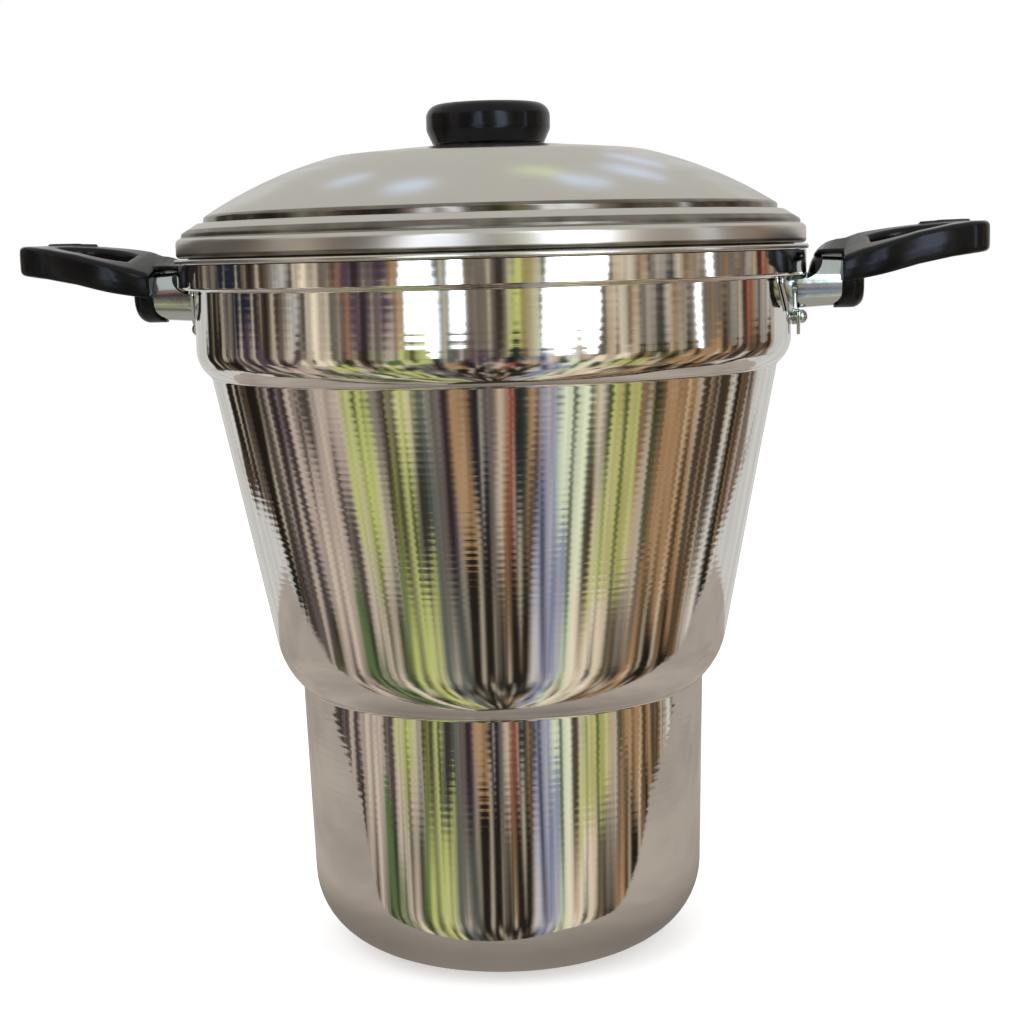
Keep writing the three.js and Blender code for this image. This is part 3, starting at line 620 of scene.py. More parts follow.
SMEAR_REACH = (-0.2, 0.25)
GRIME_AND_SHADE_REACH = (0.5, 1.1)
COMB_PITCH = 0.0036
COMB_FADE = 0.03
COMB_SHARE = 0.7
COMB_LEAST = 0.15
PATCH_LEAST = 0.3
# Dark brown tint in the lid's groove, on its ring's riser and under its bead: grime, and painted shade in
# these hollows
GRIME_AND_SHADE_FADE = 0.0006
GRIME_AND_SHADE = (0.1, 0.085, 0.06, 1)
BAKELITE_DARK = (0.004, 0.0038, 0.0036, 1)
BAKELITE_LIGHT = (0.009, 0.0085, 0.008, 1)
BAKELITE_ROUGHNESS = (0.12, 0.24)
BAKELITE_SPECULAR = 0.34
BAKELITE_GLINT = (0.72, 0.8, 1, 1)


def add_node(tree, kind, inputs=None, **settings):
    """Adds a node with its inputs, which are values or outputs of other nodes, and gives its outputs."""
    node = tree.nodes.new("ShaderNode" + kind)
    for key, value in settings.items():
        setattr(node, key, value)
    for key, value in (inputs or {}).items():
        if isinstance(value, bpy.types.NodeSocket):
            tree.links.new(value, node.inputs[key])
        else:
            node.inputs[key].default_value = value
    return node.outputs


def empty_tree(owner):
    """The node tree of a material or world, with nothing in it."""
    owner.use_nodes = True
    owner.node_tree.nodes.clear()
    return owner.node_tree


def new_material(name):
    """A material, its empty node tree, and the place that its patterns go by."""
    material = bpy.data.materials.new(name)
    tree = empty_tree(material)
    return material, tree, add_node(tree, "TexCoord")["Object"]


def show(tree, shader, inputs, output="OutputMaterial"):
    add_node(tree, output, {"Surface": add_node(tree, shader, inputs)[0]})


# These helpers add to the node tree of the output that they are given.

def calc(operation, a, b=0):
    return add_node(a.id_data, "Math", {0: a, 1: b}, operation=operation)[0]


def noise(place, scale, detail, roughness=0.5, stretch=(1, 1, 1)):
    mapped = add_node(place.id_data, "VectorMath", {0: place, 1: stretch}, operation="MULTIPLY")[0]
    inputs = {"Vector": mapped, "Scale": scale, "Detail": detail, "Roughness": roughness}
    return add_node(place.id_data, "TexNoise", inputs)["Fac"]


def line_noise(distance, scale, detail):
    inputs = {"W": distance, "Scale": scale, "Detail": detail}
    return add_node(distance.id_data, "TexNoise", inputs, noise_dimensions="1D")["Fac"]


def ramp(value, start, end, low=0, high=1, kind="SMOOTHSTEP"):
    """A value that goes from low to high while the given one goes from start to end."""
    inputs = {"Value": value, "From Min": start, "From Max": end, "To Min": low, "To Max": high}
    return add_node(value.id_data, "MapRange", inputs, interpolation_type=kind)["Result"]


def between(factor, low, high):
    """A value that goes evenly from low to high as factor goes from 0 to 1."""
    return ramp(factor, 0, 1, low, high, "LINEAR")


def strip(value, low, high, edge):
    """1 while the value is between low and high, and 0 outside."""
    return calc("MULTIPLY", ramp(value, low - edge, low), ramp(value, high + edge, high))


def mixed(factor, a, b):
    return add_node(factor.id_data, "Mix", {0: factor, 6: a, 7: b}, data_type="RGBA")[2]


def shades(colour, spread):
    """A darker and a lighter version of a colour, for a variation between them."""
    return [tuple(min(1, c * k) for c in colour) + (1,) for k in (1 - spread, 1 + spread)]


def bumps(layers):
    """The normal that layers of (height, depth) give together."""
    normal = None
    for height, depth in layers:
        inputs = {"Height": height, "Distance": depth}
        if normal is not None:
            inputs["Normal"] = normal
        normal = add_node(height.id_data, "Bump", inputs)["Normal"]
    return normal


def spun_metal(name, colour, roughness, anisotropy, line_depth, comb_depth, downwards=False, combed=(),
               grime_and_shade_bands=(), edge_radius=None, edge_roughness=None):
    """Spun aluminium: fine lines round the axis, wider tool marks and faint smears.

    The lines are numbered along the turned outline, which falls outwards if downwards. combed
    holds the (low, high) heights where the tool marks are deep, and grimy the radii or heights
    where a dark brown tint stands for grime and for painted shade in hollows. From edge_radius
    outwards the metal is at least as rough as edge_roughness.
    """
    material, tree, place = new_material(name)
    parts = add_node(tree, "SeparateXYZ", {0: place})
    height = parts["Z"]
    flat = add_node(tree, "CombineXYZ", {"X": parts["X"], "Y": parts["Y"]})[0]
    radius = add_node(tree, "VectorMath", {0: flat}, operation="LENGTH")["Value"]
    distance = calc("SUBTRACT" if downwards else "ADD", radius, height)
    fine = line_noise(distance, *FINE_LINES)
    coarse = line_noise(distance, *COARSE_LINES)
    smears = noise(place, *SMEARS)
    uneven = calc("ADD", distance, between(coarse, -COMB_PITCH / 3, COMB_PITCH / 3))
    wave = calc("SINE", calc("MULTIPLY", uneven, 2 * math.pi / COMB_PITCH))
    depth = between(noise(place, *PATCHES), PATCH_LEAST, 1)
    if combed:
        deep = COMB_LEAST
        for low, high in combed:
            deep = calc("MAXIMUM", strip(height, low, high, COMB_FADE), deep)
        depth = calc("MULTIPLY", depth, deep)
    tint = mixed(fine, *shades(colour, LINE_TINTS))
    tint = mixed(between(smears, *SMEAR_REACH), tint, shades(colour, SMEAR_TINTS)[0])
    # Grime and painted shade: each band is tinted dark brown, broken up by noise
    for along, low, high in grime_and_shade_bands:
        grime_and_shade_mask = strip(height if along == "height" else radius, low, high, GRIME_AND_SHADE_FADE)
        grime_and_shade_mask = calc("MULTIPLY", grime_and_shade_mask, between(noise(place, *GRIME_AND_SHADE_NOISE), *GRIME_AND_SHADE_REACH))
        tint = mixed(grime_and_shade_mask, tint, GRIME_AND_SHADE)
    rough = between(smears, *[roughness * share for share in SPUN_ROUGHNESS])
    if edge_radius:
        edge = ramp(radius, edge_radius - COMB_PITCH, edge_radius, 0, edge_roughness)
        rough = calc("MAXIMUM", rough, edge)
    show(tree, "BsdfPrincipled", {
        "Base Color": tint,
        "Metallic": 1,
        "Roughness": rough,
        "Anisotropic": anisotropy,
        "Tangent": add_node(tree, "Tangent", direction_type="RADIAL", axis="Z")[0],
        "Normal": bumps([
            (noise(place, *WANDER), WANDER_DEPTH),
            (calc("MULTIPLY", wave, depth), COMB_DEPTH * comb_depth),
            (coarse, COARSE_DEPTH * line_depth), (fine, FINE_DEPTH * line_depth),
        ]),
    })
    return material


def bakelite_material():
    material, tree, place = new_material("bakelite")
    cloud = noise(place, *BAKELITE_CLOUD)
    grain = noise(place, *BAKELITE_GRAIN)
    show(tree, "BsdfPrincipled", {
        "Base Color": mixed(cloud, BAKELITE_DARK, BAKELITE_LIGHT),
        "Roughness": between(noise(place, *BAKELITE_SCUFFS), *BAKELITE_ROUGHNESS),
        "Specular IOR Level": BAKELITE_SPECULAR,
        "Specular Tint": BAKELITE_GLINT,
        "Normal": bumps([(cloud, BAKELITE_CLOUD_DEPTH), (grain, BAKELITE_GRAIN_DEPTH)]),
    })
    return material


def plated_material(name, colour, roughness):
    material, tree, place = new_material(name)
    cloud = noise(place, *PLATE_CLOUD)
    lines = noise(place, *PLATE_LINES)
    show(tree, "BsdfPrincipled", {
        "Base Color": mixed(cloud, *shades(colour, PLATE_TINTS)),
        "Metallic": 1,
        "Roughness": between(lines, *[roughness * share for share in PLATE_ROUGHNESS]),
        "Normal": bumps([(cloud, PLATE_CLOUD_DEPTH), (lines, PLATE_LINE_DEPTH)]),
    })
    return material


def dress(obj, body, material, slot, *nodes):
    obj.data.materials.clear()
    obj.data.materials.append(material)
    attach(obj, body)
    if nodes:
        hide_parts(*nodes)
    return obj


# Camera and stage

def place_camera():
    eye = Vector((
        EYE_DISTANCE * math.sin(EYE_TURN),
        -EYE_DISTANCE * math.cos(EYE_TURN),
        rim_height + EYE_OVER_RIM,
    ))
    camera = new_object("camera", bpy.data.cameras.new("camera"))
    camera.data.sensor_width = SENSOR
    camera.data.lens = FOCAL_PIXELS / PHOTO_SIZE * SENSOR
    camera.data.clip_start = NEAREST_SEEN
    turn = Matrix.Rotation(EYE_TURN + EYE_PAN, 4, "Z")
    tilt = Matrix.Rotation(math.pi / 2 - EYE_PITCH, 4, "X")
    roll = Matrix.Rotation(-EYE_ROLL, 4, "Z")
    camera.matrix_world = Matrix.Translation(eye) @ turn @ tilt @ roll
    bpy.context.scene.camera = camera


def srgb(red, green, blue):
    """A colour given as it looks on a screen, from 0 to 255, made linear."""
    return tuple((c / 255) ** 2.2 for c in (red, green, blue)) + (1,)


# Colours of the things in the room that the polished metal shows
WINDOW = srgb(400, 412, 430)
PALE = srgb(196, 194, 190)
PINKISH = srgb(172, 156, 146)
CREAM = srgb(222, 208, 184)
SAND = srgb(206, 192, 168)
GREY = srgb(146, 140, 130)
TAUPE = srgb(108, 99, 90)
OLIVE = srgb(78, 77, 56)
LEAF = srgb(88, 106, 70)
LIME = srgb(178, 184, 112)
MINT = srgb(208, 218, 186)
AMBER = srgb(158, 126, 92)
RUST = srgb(160, 116, 96)
RED = srgb(128, 52, 50)
PLUM = srgb(80, 66, 76)
NAVY = srgb(38, 41, 52)
SLATE = srgb(94, 98, 92)
SKY = srgb(136, 142, 166)
TEAL = srgb(42, 54, 52)
BARK = srgb(72, 60, 50)
DARK = srgb(38, 34, 30)
SHEET_COLOUR = srgb(168, 158, 148)
ROOM_CEILING = srgb(192, 189, 182)
ROOM_BELOW = srgb(60, 55, 50)
WINDOW_BLUE = srgb(222, 234, 255)
WINDOW_GREEN = srgb(224, 234, 190)

# The room is made of plain cards on a wall round the object. Each band of the wall has its lower
# edge, and each of its cards starts at that many degrees to the right of the camera and ends where
# the next one starts.
ROOM_RADIUS = 0.6
ROOM_TOP = 0.62
ROOM_BANDS = [
    (0.25, {
        -180: PALE, -124: DARK, -117: TAUPE, -100: NAVY, -88: BARK, -77: PALE,
        -69: CREAM, -57: TAUPE, -48.5: RUST, -45: PLUM, -30: AMBER, -24: WINDOW,
        -21: SLATE, -16.5: WINDOW, -10.5: TAUPE, 3: LIME, 9.5: MINT, 15.5: WINDOW,
        32: SAND, 41: GREY, 71.5: WINDOW, 74: TAUPE, 91: GREY, 96: RED, 101: GREY,
        114: PALE,
    }),
    (0.12, {
        -180: PALE, -128: DARK, -101: PLUM, -70: CREAM, -55: OLIVE, -42: BARK,
        -38: LEAF, -30: LIME, -20: SLATE, -10: PLUM, 3: TEAL, 10: SKY, 16: PALE,
        30: CREAM, 45: OLIVE, 70: AMBER, 90: BARK, 118: PALE,
    }),
    (-0.1, {
        -180: PALE, -132: BARK, -113: DARK, -98: PLUM, -88: PINKISH, -56: LIME,
        -50: GREY, -45.5: BARK, -42: LIME, -34: SLATE, -22: PLUM, -14: AMBER,
        -7.5: NAVY, -2: PINKISH, 2: RED, 6: TEAL, 11.5: AMBER, 15.5: SKY,
        21.5: MINT, 38.5: GREY, 42: LIME, 53: RUST, 56: OLIVE, 65.5: AMBER,
        84: BARK, 100: PALE, 103: DARK, 109: PLUM, 117: GREY, 128: PALE,
    }),
    (-4, {
        -180: PALE, -108: DARK, -91: OLIVE, -86: PINKISH, -69: LEAF, -56: CREAM,
        -49.5: BARK, -46: LEAF, -41: LIME, -27: SLATE, -16.5: DARK, 12.5: GREY,
        15: SKY, 26: MINT, 33: CREAM, 48: OLIVE, 50.5: TAUPE, 63: AMBER,
        69.5: DARK, 108: PALE,
    }),
]
# How far round the pale ends behind the object reach at each height, to its left and right
PALE_ENDS = [
    (-0.1, 100, 104), (0.0, 111, 110), (0.05, 120, 116), (0.12, 132, 129), (0.2, 150, 150),
]
ROOM_COLUMNS = 960
ROOM_ROW = 0.015
ROOM_LOW_ROWS = 14
ROOM_LOW_GROWTH = 1.28
CARD_SOFTNESS = 1.4
BACK_START = 122
ROOM_GAIN = 1.06
# The pale sheet that the pot stands on in the photograph, as its metal shows it
SHEET_CORNERS = [
    (-1.14, 0.777), (-0.4, -0.045), (-0.31, -0.1), (0.06, -0.113), (0.17, -0.085),
    (0.33, -0.02), (0.46, 0.165), (0.65, 0.64), (0.75, 1.04),
]
# The sheet's painted shadow of the pot: the radii over which it fades out, and its darkest share at the
# foot
SHEET_SHADE = (0.09, 0.17)
SHEET_DARKEST = 0.55
FOLD_SHADES = (0.85, 1.12)
STREAK_SHADES = (0.8 * ROOM_GAIN, 1.2 * ROOM_GAIN)
NOISE_MIDDLE = (0.3, 0.7)
PLAIN_LIGHT = 0.62
HORIZON = 0.05
# Patterns on the wall: size in degrees, how much longer they are upwards, and seed
SWAY = (15, 1.6, 1)
FLUTTER = (6, 2, 2)
EDGE_WAVES = (6, 6, 3)
SPOTS = (3.4, 4, 4)
THREADS = (0.9, 30, 5)
WARM_SPOTS = (4.5, 8, 6)
# How far the edges of the cards waver, sideways in degrees and upwards in metres
SWAY_REACH = 3
FLUTTER_REACH = 1.6
EDGE_WAVE_HEIGHT = 0.03
# How much a tint gets of the spots and the threads, what is added, and the most that it reaches
WARM_MIX = (0.8, 0, 0, 0.6)
DARK_MIX = (1, 0.3, -0.12, 0.85)
PALE_MIX = (-0.6, -0.25, -0.15, 0.5)
# Way to each skylight, with X to the camera's right and Y away from it, its size and its colour
SKYLIGHTS = [
    ((-0.22, 0.765, 0.605), 0.045, WINDOW_BLUE),
    ((-0.153, 0.622, 0.768), 0.06, WINDOW_BLUE),
    ((0.083, 0.691, 0.718), 0.055, WINDOW_GREEN),
    ((0.173, 0.644, 0.745), 0.06, WINDOW_BLUE),
    ((0.22, 0.78, 0.585), 0.06, WINDOW_BLUE),
    ((0.18, 0.88, 0.44), 0.05, WINDOW_BLUE),
]
SKYLIGHT_CORE_SHARE = 0.7


def card_material(name, is_sheet=False):
    """Light in the mesh's own tint, with streaks, or in the sheet's colour, with a painted shadow of the
    pot near its foot.
    """
    material, tree, place = new_material(name)
    material.cycles.emission_sampling = "NONE"
    if is_sheet:
        # Painted shadow of the pot, darkest at its foot
        reach = add_node(tree, "VectorMath", {0: place}, operation="LENGTH")["Value"]
        strength = ramp(reach, *SHEET_SHADE, SHEET_DARKEST, 1, "LINEAR")
        folds = ramp(noise(place, *CLOTH_FOLDS), *NOISE_MIDDLE, *FOLD_SHADES)
        strength = calc("MULTIPLY", strength, folds)
        colour = SHEET_COLOUR
    else:
        strength = ramp(noise(place, *WALL_STREAKS), *NOISE_MIDDLE, *STREAK_SHADES)
        colour = add_node(tree, "Attribute", attribute_name="tint")["Color"]
    show(tree, "Emission", {"Color": colour, "Strength": strength})
    return material


def only_reflected(obj, material):
    """Stage object that nothing but a reflection shows."""
    obj.data.materials.append(material)
    obj.visible_camera = False
    obj.visible_diffuse = False
    obj.visible_transmission = False
    obj.visible_volume_scatter = False
    obj.visible_shadow = False


def wavy(place, size, stretch, seed):
    """Smooth noise from about -1 to 1 in spots of that many degrees, stretched upwards."""
    azimuth, slope = place
    return 2 * turbulence.noise(Vector((azimuth / size, slope / size / stretch, seed)))


def tint_share(mix, spots, threads=0):
    by_spots, by_threads, added, most = mix
    return min(most, max(0, by_spots * spots + by_threads * threads + added))


def room_colour(azimuth, height):
    """Tint of the room's wall, whose cards run into one another along wavering edges."""
    place = (azimuth, math.degrees(math.atan2(height - rim_height / 2, ROOM_RADIUS)))
    around = azimuth + SWAY_REACH * wavy(place, *SWAY) + FLUTTER_REACH * wavy(place, *FLUTTER)
    level = height + EDGE_WAVE_HEIGHT * wavy(place, *EDGE_WAVES)
    left, right = placed(PALE_ENDS, height)
    if height < PALE_ENDS[-1][0] and not -left < around < right:
        return PALE
    row = list(next(cards for low, cards in ROOM_BANDS if level >= low).items())
    k = max(k for k, (start, _) in enumerate(row) if start <= around or k == 0)
    colour = Vector(row[k][1])
    for neighbour, gap in ((k - 1, around - row[k][0]), (k + 1, row[(k + 1) % len(row)][0] - around)):
        if 0 <= neighbour < len(row) and gap < CARD_SOFTNESS:
            colour = colour.lerp(Vector(row[neighbour][1]), (1 - gap / CARD_SOFTNESS) / 2)
    if colour[1] > 1 or abs(azimuth) > BACK_START:
        return colour
    spots = wavy(place, *SPOTS)
    threads = wavy(place, *THREADS)
    warm = tint_share(WARM_MIX, wavy(place, *WARM_SPOTS))
    colour = colour.lerp(Vector(AMBER if azimuth > 0 else TAUPE), warm)
    colour = colour.lerp(Vector(DARK), tint_share(DARK_MIX, spots, threads))
    return colour.lerp(Vector(CREAM), tint_share(PALE_MIX, spots, threads))


def make_room():
    lowest = ROOM_BANDS[-2][0]
    heights = [lowest * ROOM_LOW_GROWTH ** k for k in range(ROOM_LOW_ROWS, 0, -1)]
    heights += [lowest + ROOM_ROW * k for k in range(round((ROOM_TOP - lowest) / ROOM_ROW) + 1)]
    verts, tints = [], []
    for height in heights:
        for i in range(ROOM_COLUMNS):
            azimuth = 360 * i / ROOM_COLUMNS - 180
            angle = EYE_TURN + math.radians(azimuth)
            verts.append((ROOM_RADIUS * math.sin(angle), -ROOM_RADIUS * math.cos(angle), height))
            tints.extend(room_colour(azimuth, height))
    mesh = bpy.data.meshes.new("room")
    mesh.from_pydata(verts, [], wrapped_faces(len(heights), ROOM_COLUMNS))
    mesh.attributes.new("tint", "FLOAT_COLOR", "POINT").data.foreach_set("color", tints)
    only_reflected(new_object("room", mesh), card_material("room"))
    corners = [(x, y, -CLEARANCE) for x, y in SHEET_CORNERS]
    pale_sheet = make_object("pale_sheet", corners, [tuple(range(len(corners)))])
    only_reflected(pale_sheet, card_material("pale_sheet", True))


def make_world():
    world = bpy.data.worlds.new("room")
    bpy.context.scene.world = world
    tree = empty_tree(world)
    ray = add_node(tree, "TexCoord")["Generated"]
    ray = add_node(tree, "VectorRotate", {"Vector": ray, "Angle": -EYE_TURN}, rotation_type="Z_AXIS")[0]
    wobble = noise(ray, *SKY_WOBBLE)
    above = ramp(add_node(tree, "SeparateXYZ", {0: ray})["Z"], -HORIZON, HORIZON)
    colour = mixed(above, ROOM_BELOW, ROOM_CEILING)
    for way, size, light in SKYLIGHTS:
        aim = Vector(way).normalized()
        near = add_node(tree, "VectorMath", {0: ray, 1: aim}, operation="DISTANCE")["Value"]
        edge = calc("ADD", near, between(wobble, -size / 2, size / 2))
        colour = mixed(ramp(edge, size, size * SKYLIGHT_CORE_SHARE), colour, light)
    path = add_node(tree, "LightPath")
    plain = mixed(path["Is Glossy Ray"], (PLAIN_LIGHT, PLAIN_LIGHT, PLAIN_LIGHT, 1), colour)
    shown = calc("MAXIMUM", path["Is Camera Ray"], path["Is Transmission Ray"])
    show(tree, "Background", {"Color": mixed(shown, plain, WHITE)}, "OutputWorld")


def make_floor():
    half = FLOOR_SIZE / 2
    corners = [(-half, -half, 0), (half, -half, 0), (half, half, 0), (-half, half, 0)]
    floor = make_object("floor", corners, [(0, 1, 2, 3)])
    material = bpy.data.materials.new("floor")
    tree = empty_tree(material)
    path = add_node(tree, "LightPath")
    paper = add_node(tree, "BsdfDiffuse", {"Color": PAPER})[0]
    glow = add_node(tree, "Emission", {"Color": WHITE, "Strength": FLOOR_GLOW})[0]
    lit = add_node(tree, "AddShader", {0: paper, 1: glow})[0]
    seen = add_node(tree, "MixShader", {0: path["Is Camera Ray"], 1: paper, 2: lit})[0]
    clear = add_node(tree, "BsdfTransparent")[0]
    show(tree, "MixShader", {0: path["Is Glossy Ray"], 1: seen, 2: clear})
    floor.data.materials.append(material)


def make_lamps():
    middle = Vector((0, 0, rim_height / 2))
    for name, (place, power) in LAMPS.items():
        lamp = new_object(name, bpy.data.lights.new(name, "AREA"))
        lamp.data.size = LAMP_SIZE
        lamp.data.energy = power
        lamp.location = place
        lamp.rotation_euler = (middle - Vector(place)).to_track_quat("-Z", "Y").to_euler()
        lamp.visible_glossy = False


# Pieces

def steam_holes():
    """Rods through the basket's floor, in rings, that cut its holes."""
    low = basket_floor_height - CLEARANCE
    high = basket_floor_height + CLEARANCE + BASKET_WALL
    outline = [(0, low), (STEAM_HOLE_RADIUS, low), (STEAM_HOLE_RADIUS, high), (0, high)]
    rods = []
    for ring in range(STEAM_HOLE_RINGS + 1):
        count = max(1, HOLES_IN_FIRST_RING * ring)
        for i in range(count):
            turn = 2 * math.pi * i / count
            centre = Vector((math.cos(turn), math.sin(turn), 0)) * ring * STEAM_HOLE_PITCH
            rod = spun("hole", outline, HOLE_SIDES)
            rod.data.transform(Matrix.Translation(centre) @ Matrix.Rotation(math.pi / HOLE_SIDES, 4, "Z"))
            rods.append(rod)
    return joined("holes", rods)


def steamer_basket():
    inside = list(reversed(rounded(basket_wall(basket_inner_inset, rim_height))))
    flange_foot = rim_height - FLANGE_THICK
    round_edge = FLANGE_THICK * FLANGE_EDGE_SHARE
    shell = rounded([
        *basket_wall(basket_outer_inset, rim_height)[:-1],
        (COLLAR_RADIUS - basket_outer_inset, flange_foot, SEAT_GAP),
        (flange_radius, flange_foot, round_edge),
        (flange_radius, rim_height, round_edge),
        (COLLAR_RADIUS - basket_inner_inset, rim_height),
    ])
    return cut_by(spun("steamer_shell", shell + inside[1:], BASKET_SIDES), steam_holes())


def bracket_pieces():
    """The right bracket's shield, tongue, shelf between them, rivet collar and stud."""
    wing_top = COLLAR_HEIGHT + WING_TOP_DROP
    tongue_back = belt_radius + TONGUE_STANDOFF
    tongue_front = tongue_back + BRACKET_SHEET
    tongue_foot = TONGUE_TOP_DROP + BRACKET_SHEET
    back = belt_radius + SEAT_GAP
    shield = sheet("bracket_shield_right", [
        (-WING_WIDTH, wing_top), (-WING_WIDTH, wing_top + WING_SIDE_HEIGHT),
        (-WING_FOOT_WIDTH, WING_FOOT_DROP), (-TONGUE_WIDTH, tongue_foot),
    ], lambda y: (round_face(back, y), round_face(bracket_face, y)))
    tongue = sheet("bracket_tongue_right", [
        (-TONGUE_WIDTH, TONGUE_TOP_DROP), (-TONGUE_WIDTH, LOW_RIVET_DROP),
        (-TONGUE_TIP_WIDTH, TONGUE_TIP_DROP),
    ], lambda y: (tongue_back, tongue_front))
    shelf = sheet("bracket_shelf_right", [
        (-TONGUE_WIDTH, TONGUE_TOP_DROP), (-TONGUE_WIDTH, tongue_foot),
    ], lambda y: (round_face(bracket_face, y) - BRACKET_SHEET / 2, tongue_front))
    bore = RIVET_RADIUS + SEAT_GAP
    outline = tube_outline(bore, RIVET_COLLAR_RADIUS, back, tongue_back, SEAT_GAP)
    collar = spun_outwards("bracket_collar_right", outline, SMALL_SIDES, True, 0, LOW_RIVET_DROP)
    bore = HANDLE_SCREW_RADIUS + SEAT_GAP
    outline = tube_outline(bore, STUD_RADIUS, bracket_face - SEAT_GAP, belt_radius + STUD_LENGTH, SEAT_GAP)
    stud = spun_outwards("bracket_stud_right", outline, SMALL_SIDES, True)
    return [shield, tongue, shelf, collar, stud]


def rivet(name, side, drop, seat, head_radius, head_height):
    """A rivet with a low domed head on the seat, from just inside the pot's wall."""
    start = round_face(belt_radius - POT_WALL, side) + RIVET_END_DEPTH
    foot = seat + SEAT_GAP
    head = []
    for k in range(HEAD_STEPS + 1):
        angle = math.pi / 2 * k / HEAD_STEPS
        rise = RIVET_RIM_SHARE + (1 - RIVET_RIM_SHARE) * math.sin(angle)
        head.append((head_radius * math.cos(angle), foot + head_height * rise))
    outline = rounded([(0, start), (RIVET_RADIUS, start), (RIVET_RADIUS, foot), (head_radius, foot), *head])
    return spun_outwards(name, outline, SMALL_SIDES, False, side, drop)


def relief_roller(radius):
    """A roller along Y that clears the collar's lower corner."""
    reach = 2 * FERRULE_RADIUS
    roller = spun("relief", rod_outline(radius, -reach, reach), TURNED_SIDES)
    lying = Matrix.Rotation(math.pi / 2, 4, "X")
    centre = (COLLAR_RADIUS - RELIEF_INSET, 0, rim_height - RELIEF_DROP)
    roller.data.transform(Matrix.Translation(centre) @ lying)
    return roller


def ferrule():
    start = bracket_face + FERRULE_FOOT_GAP
    outline = rounded([
        (FERRULE_RADIUS - FERRULE_WALL / 2, start),
        (FERRULE_RADIUS, start, FERRULE_EDGE),
        (FERRULE_END_RADIUS, ferrule_end, FERRULE_EDGE),
        (FERRULE_END_RADIUS - FERRULE_WALL, ferrule_end, FERRULE_EDGE),
        (FERRULE_RADIUS - FERRULE_WALL, start, FERRULE_EDGE),
        (FERRULE_RADIUS - FERRULE_WALL / 2, start),
    ])[:-1]
    tube = spun_outwards("ferrule_shell_right", outline, TURNED_SIDES, True)
    return cut_by(tube, relief_roller(RELIEF_RADIUS))


def loop_half_width(share):
    """Half the loop's width: it flares from the root, and turns in towards its tip."""
    if share < LOOP_WIDEST_SHARE:
        flare = 1 - (1 - share / LOOP_WIDEST_SHARE) ** 2
        return LOOP_ROOT_WIDTH + (LOOP_WIDTH - LOOP_ROOT_WIDTH) * flare
    along = min(1, (share - LOOP_WIDEST_SHARE) / (1 - LOOP_WIDEST_SHARE))
    return LOOP_WIDTH * (1 - along ** LOOP_SQUARENESS) ** (1 / LOOP_SQUARENESS)


def loop_outline(near, far, inset, start, end, steps):
    """Points round the loop from (along, across); near and far are the shares of its length."""
    side = []
    for k in range(steps + 1):
        turn = math.pi * k / steps
        share = near + (far - near) * (1 - math.cos(turn)) / 2
        along = start + (end - start) * (share - near) / (far - near)
        side.append((along, max(0, loop_half_width(share) - inset)))
    return side + [(x, -y) for x, y in reversed(side) if y > 0]


def flat_plate(name, outlines, thick, edge):
    """A plate with rounded edges over outlines in (along, across), the later ones holes."""
    curve = bpy.data.curves.new(name, "CURVE")
    curve.dimensions = "2D"
    curve.fill_mode = "BOTH"
    curve.extrude = thick / 2 - edge
    curve.bevel_depth = edge
    curve.bevel_resolution = PLATE_EDGE_STEPS
    curve.offset = -edge
    for outline in outlines:
        spline = curve.splines.new("POLY")
        spline.points.add(len(outline) - 1)
        for point, (x, y) in zip(spline.points, outline):
            point.co = (x, y, 0, 1)
        spline.use_cyclic_u = True
    shape = new_object(name, curve)
    mesh = final_mesh(shape)
    bpy.data.objects.remove(shape)
    return make_object(name, [v.co for v in mesh.vertices], [tuple(p.vertices) for p in mesh.polygons])


def remeshed(obj, smoothing=0):
    remesh = obj.modifiers.new("skin", "REMESH")
    remesh.mode = "VOXEL"
    remesh.voxel_size = HANDLE_VOXEL
    if smoothing:
        soften = obj.modifiers.new("soften", "SMOOTH")
        soften.factor = 0.5
        soften.iterations = smoothing
    return applied(obj)


def loop_lip():
    """The raised lip along the loop's far side."""
    first, last = LIP_SHARES
    outer = []
    for k in range(LIP_STEPS + 1):
        share = first + (last - first) * k / LIP_STEPS
        outer.append((share * LOOP_LENGTH, loop_half_width(share) - LOOP_EDGE / 3))
    outline = outer + [(x, y - LIP_WIDTH) for x, y in reversed(outer)]
    lip = flat_plate("lip", [outline], 2 * LIP_RISE + LOOP_EDGE, LIP_RISE / 3)
    lip.data.transform(Matrix.Translation((0, 0, LOOP_THICK / 2 - LOOP_EDGE / 2)))
    return lip


def handle_loop():
    """The loop, bent so that it rises outwards and its far side stands higher than its near one."""
    outer = loop_outline(0, 1, 0, 0, LOOP_LENGTH, LOOP_STEPS)
    hole_end = LOOP_LENGTH - CROSS_BAR_WIDTH
    hole = loop_outline(*HOLE_SHARES, BAR_WIDTH, WEB_LENGTH, hole_end, LOOP_HOLE_STEPS)
    loop = flat_plate("loop", [outer, hole], LOOP_THICK, LOOP_EDGE)
    loop = remeshed(joined("handle_loop", [loop, loop_lip()]))
    for v in loop.data.vertices:
        top, lean, thick = placed(LOOP_PLACES, v.co.x / LOOP_LENGTH)
        ridge = 1 + LOOP_RIDGE_SHARE * (1 - min(1, abs(v.co.z) * 2 / LOOP_THICK))
        across = v.co.y / (2 * LOOP_WIDTH)
        height = top + lean * across - thick / 2 + v.co.z * thick / LOOP_THICK
        v.co = (boss_start + v.co.x, v.co.y * ridge, ferrule_height + height)
    return loop


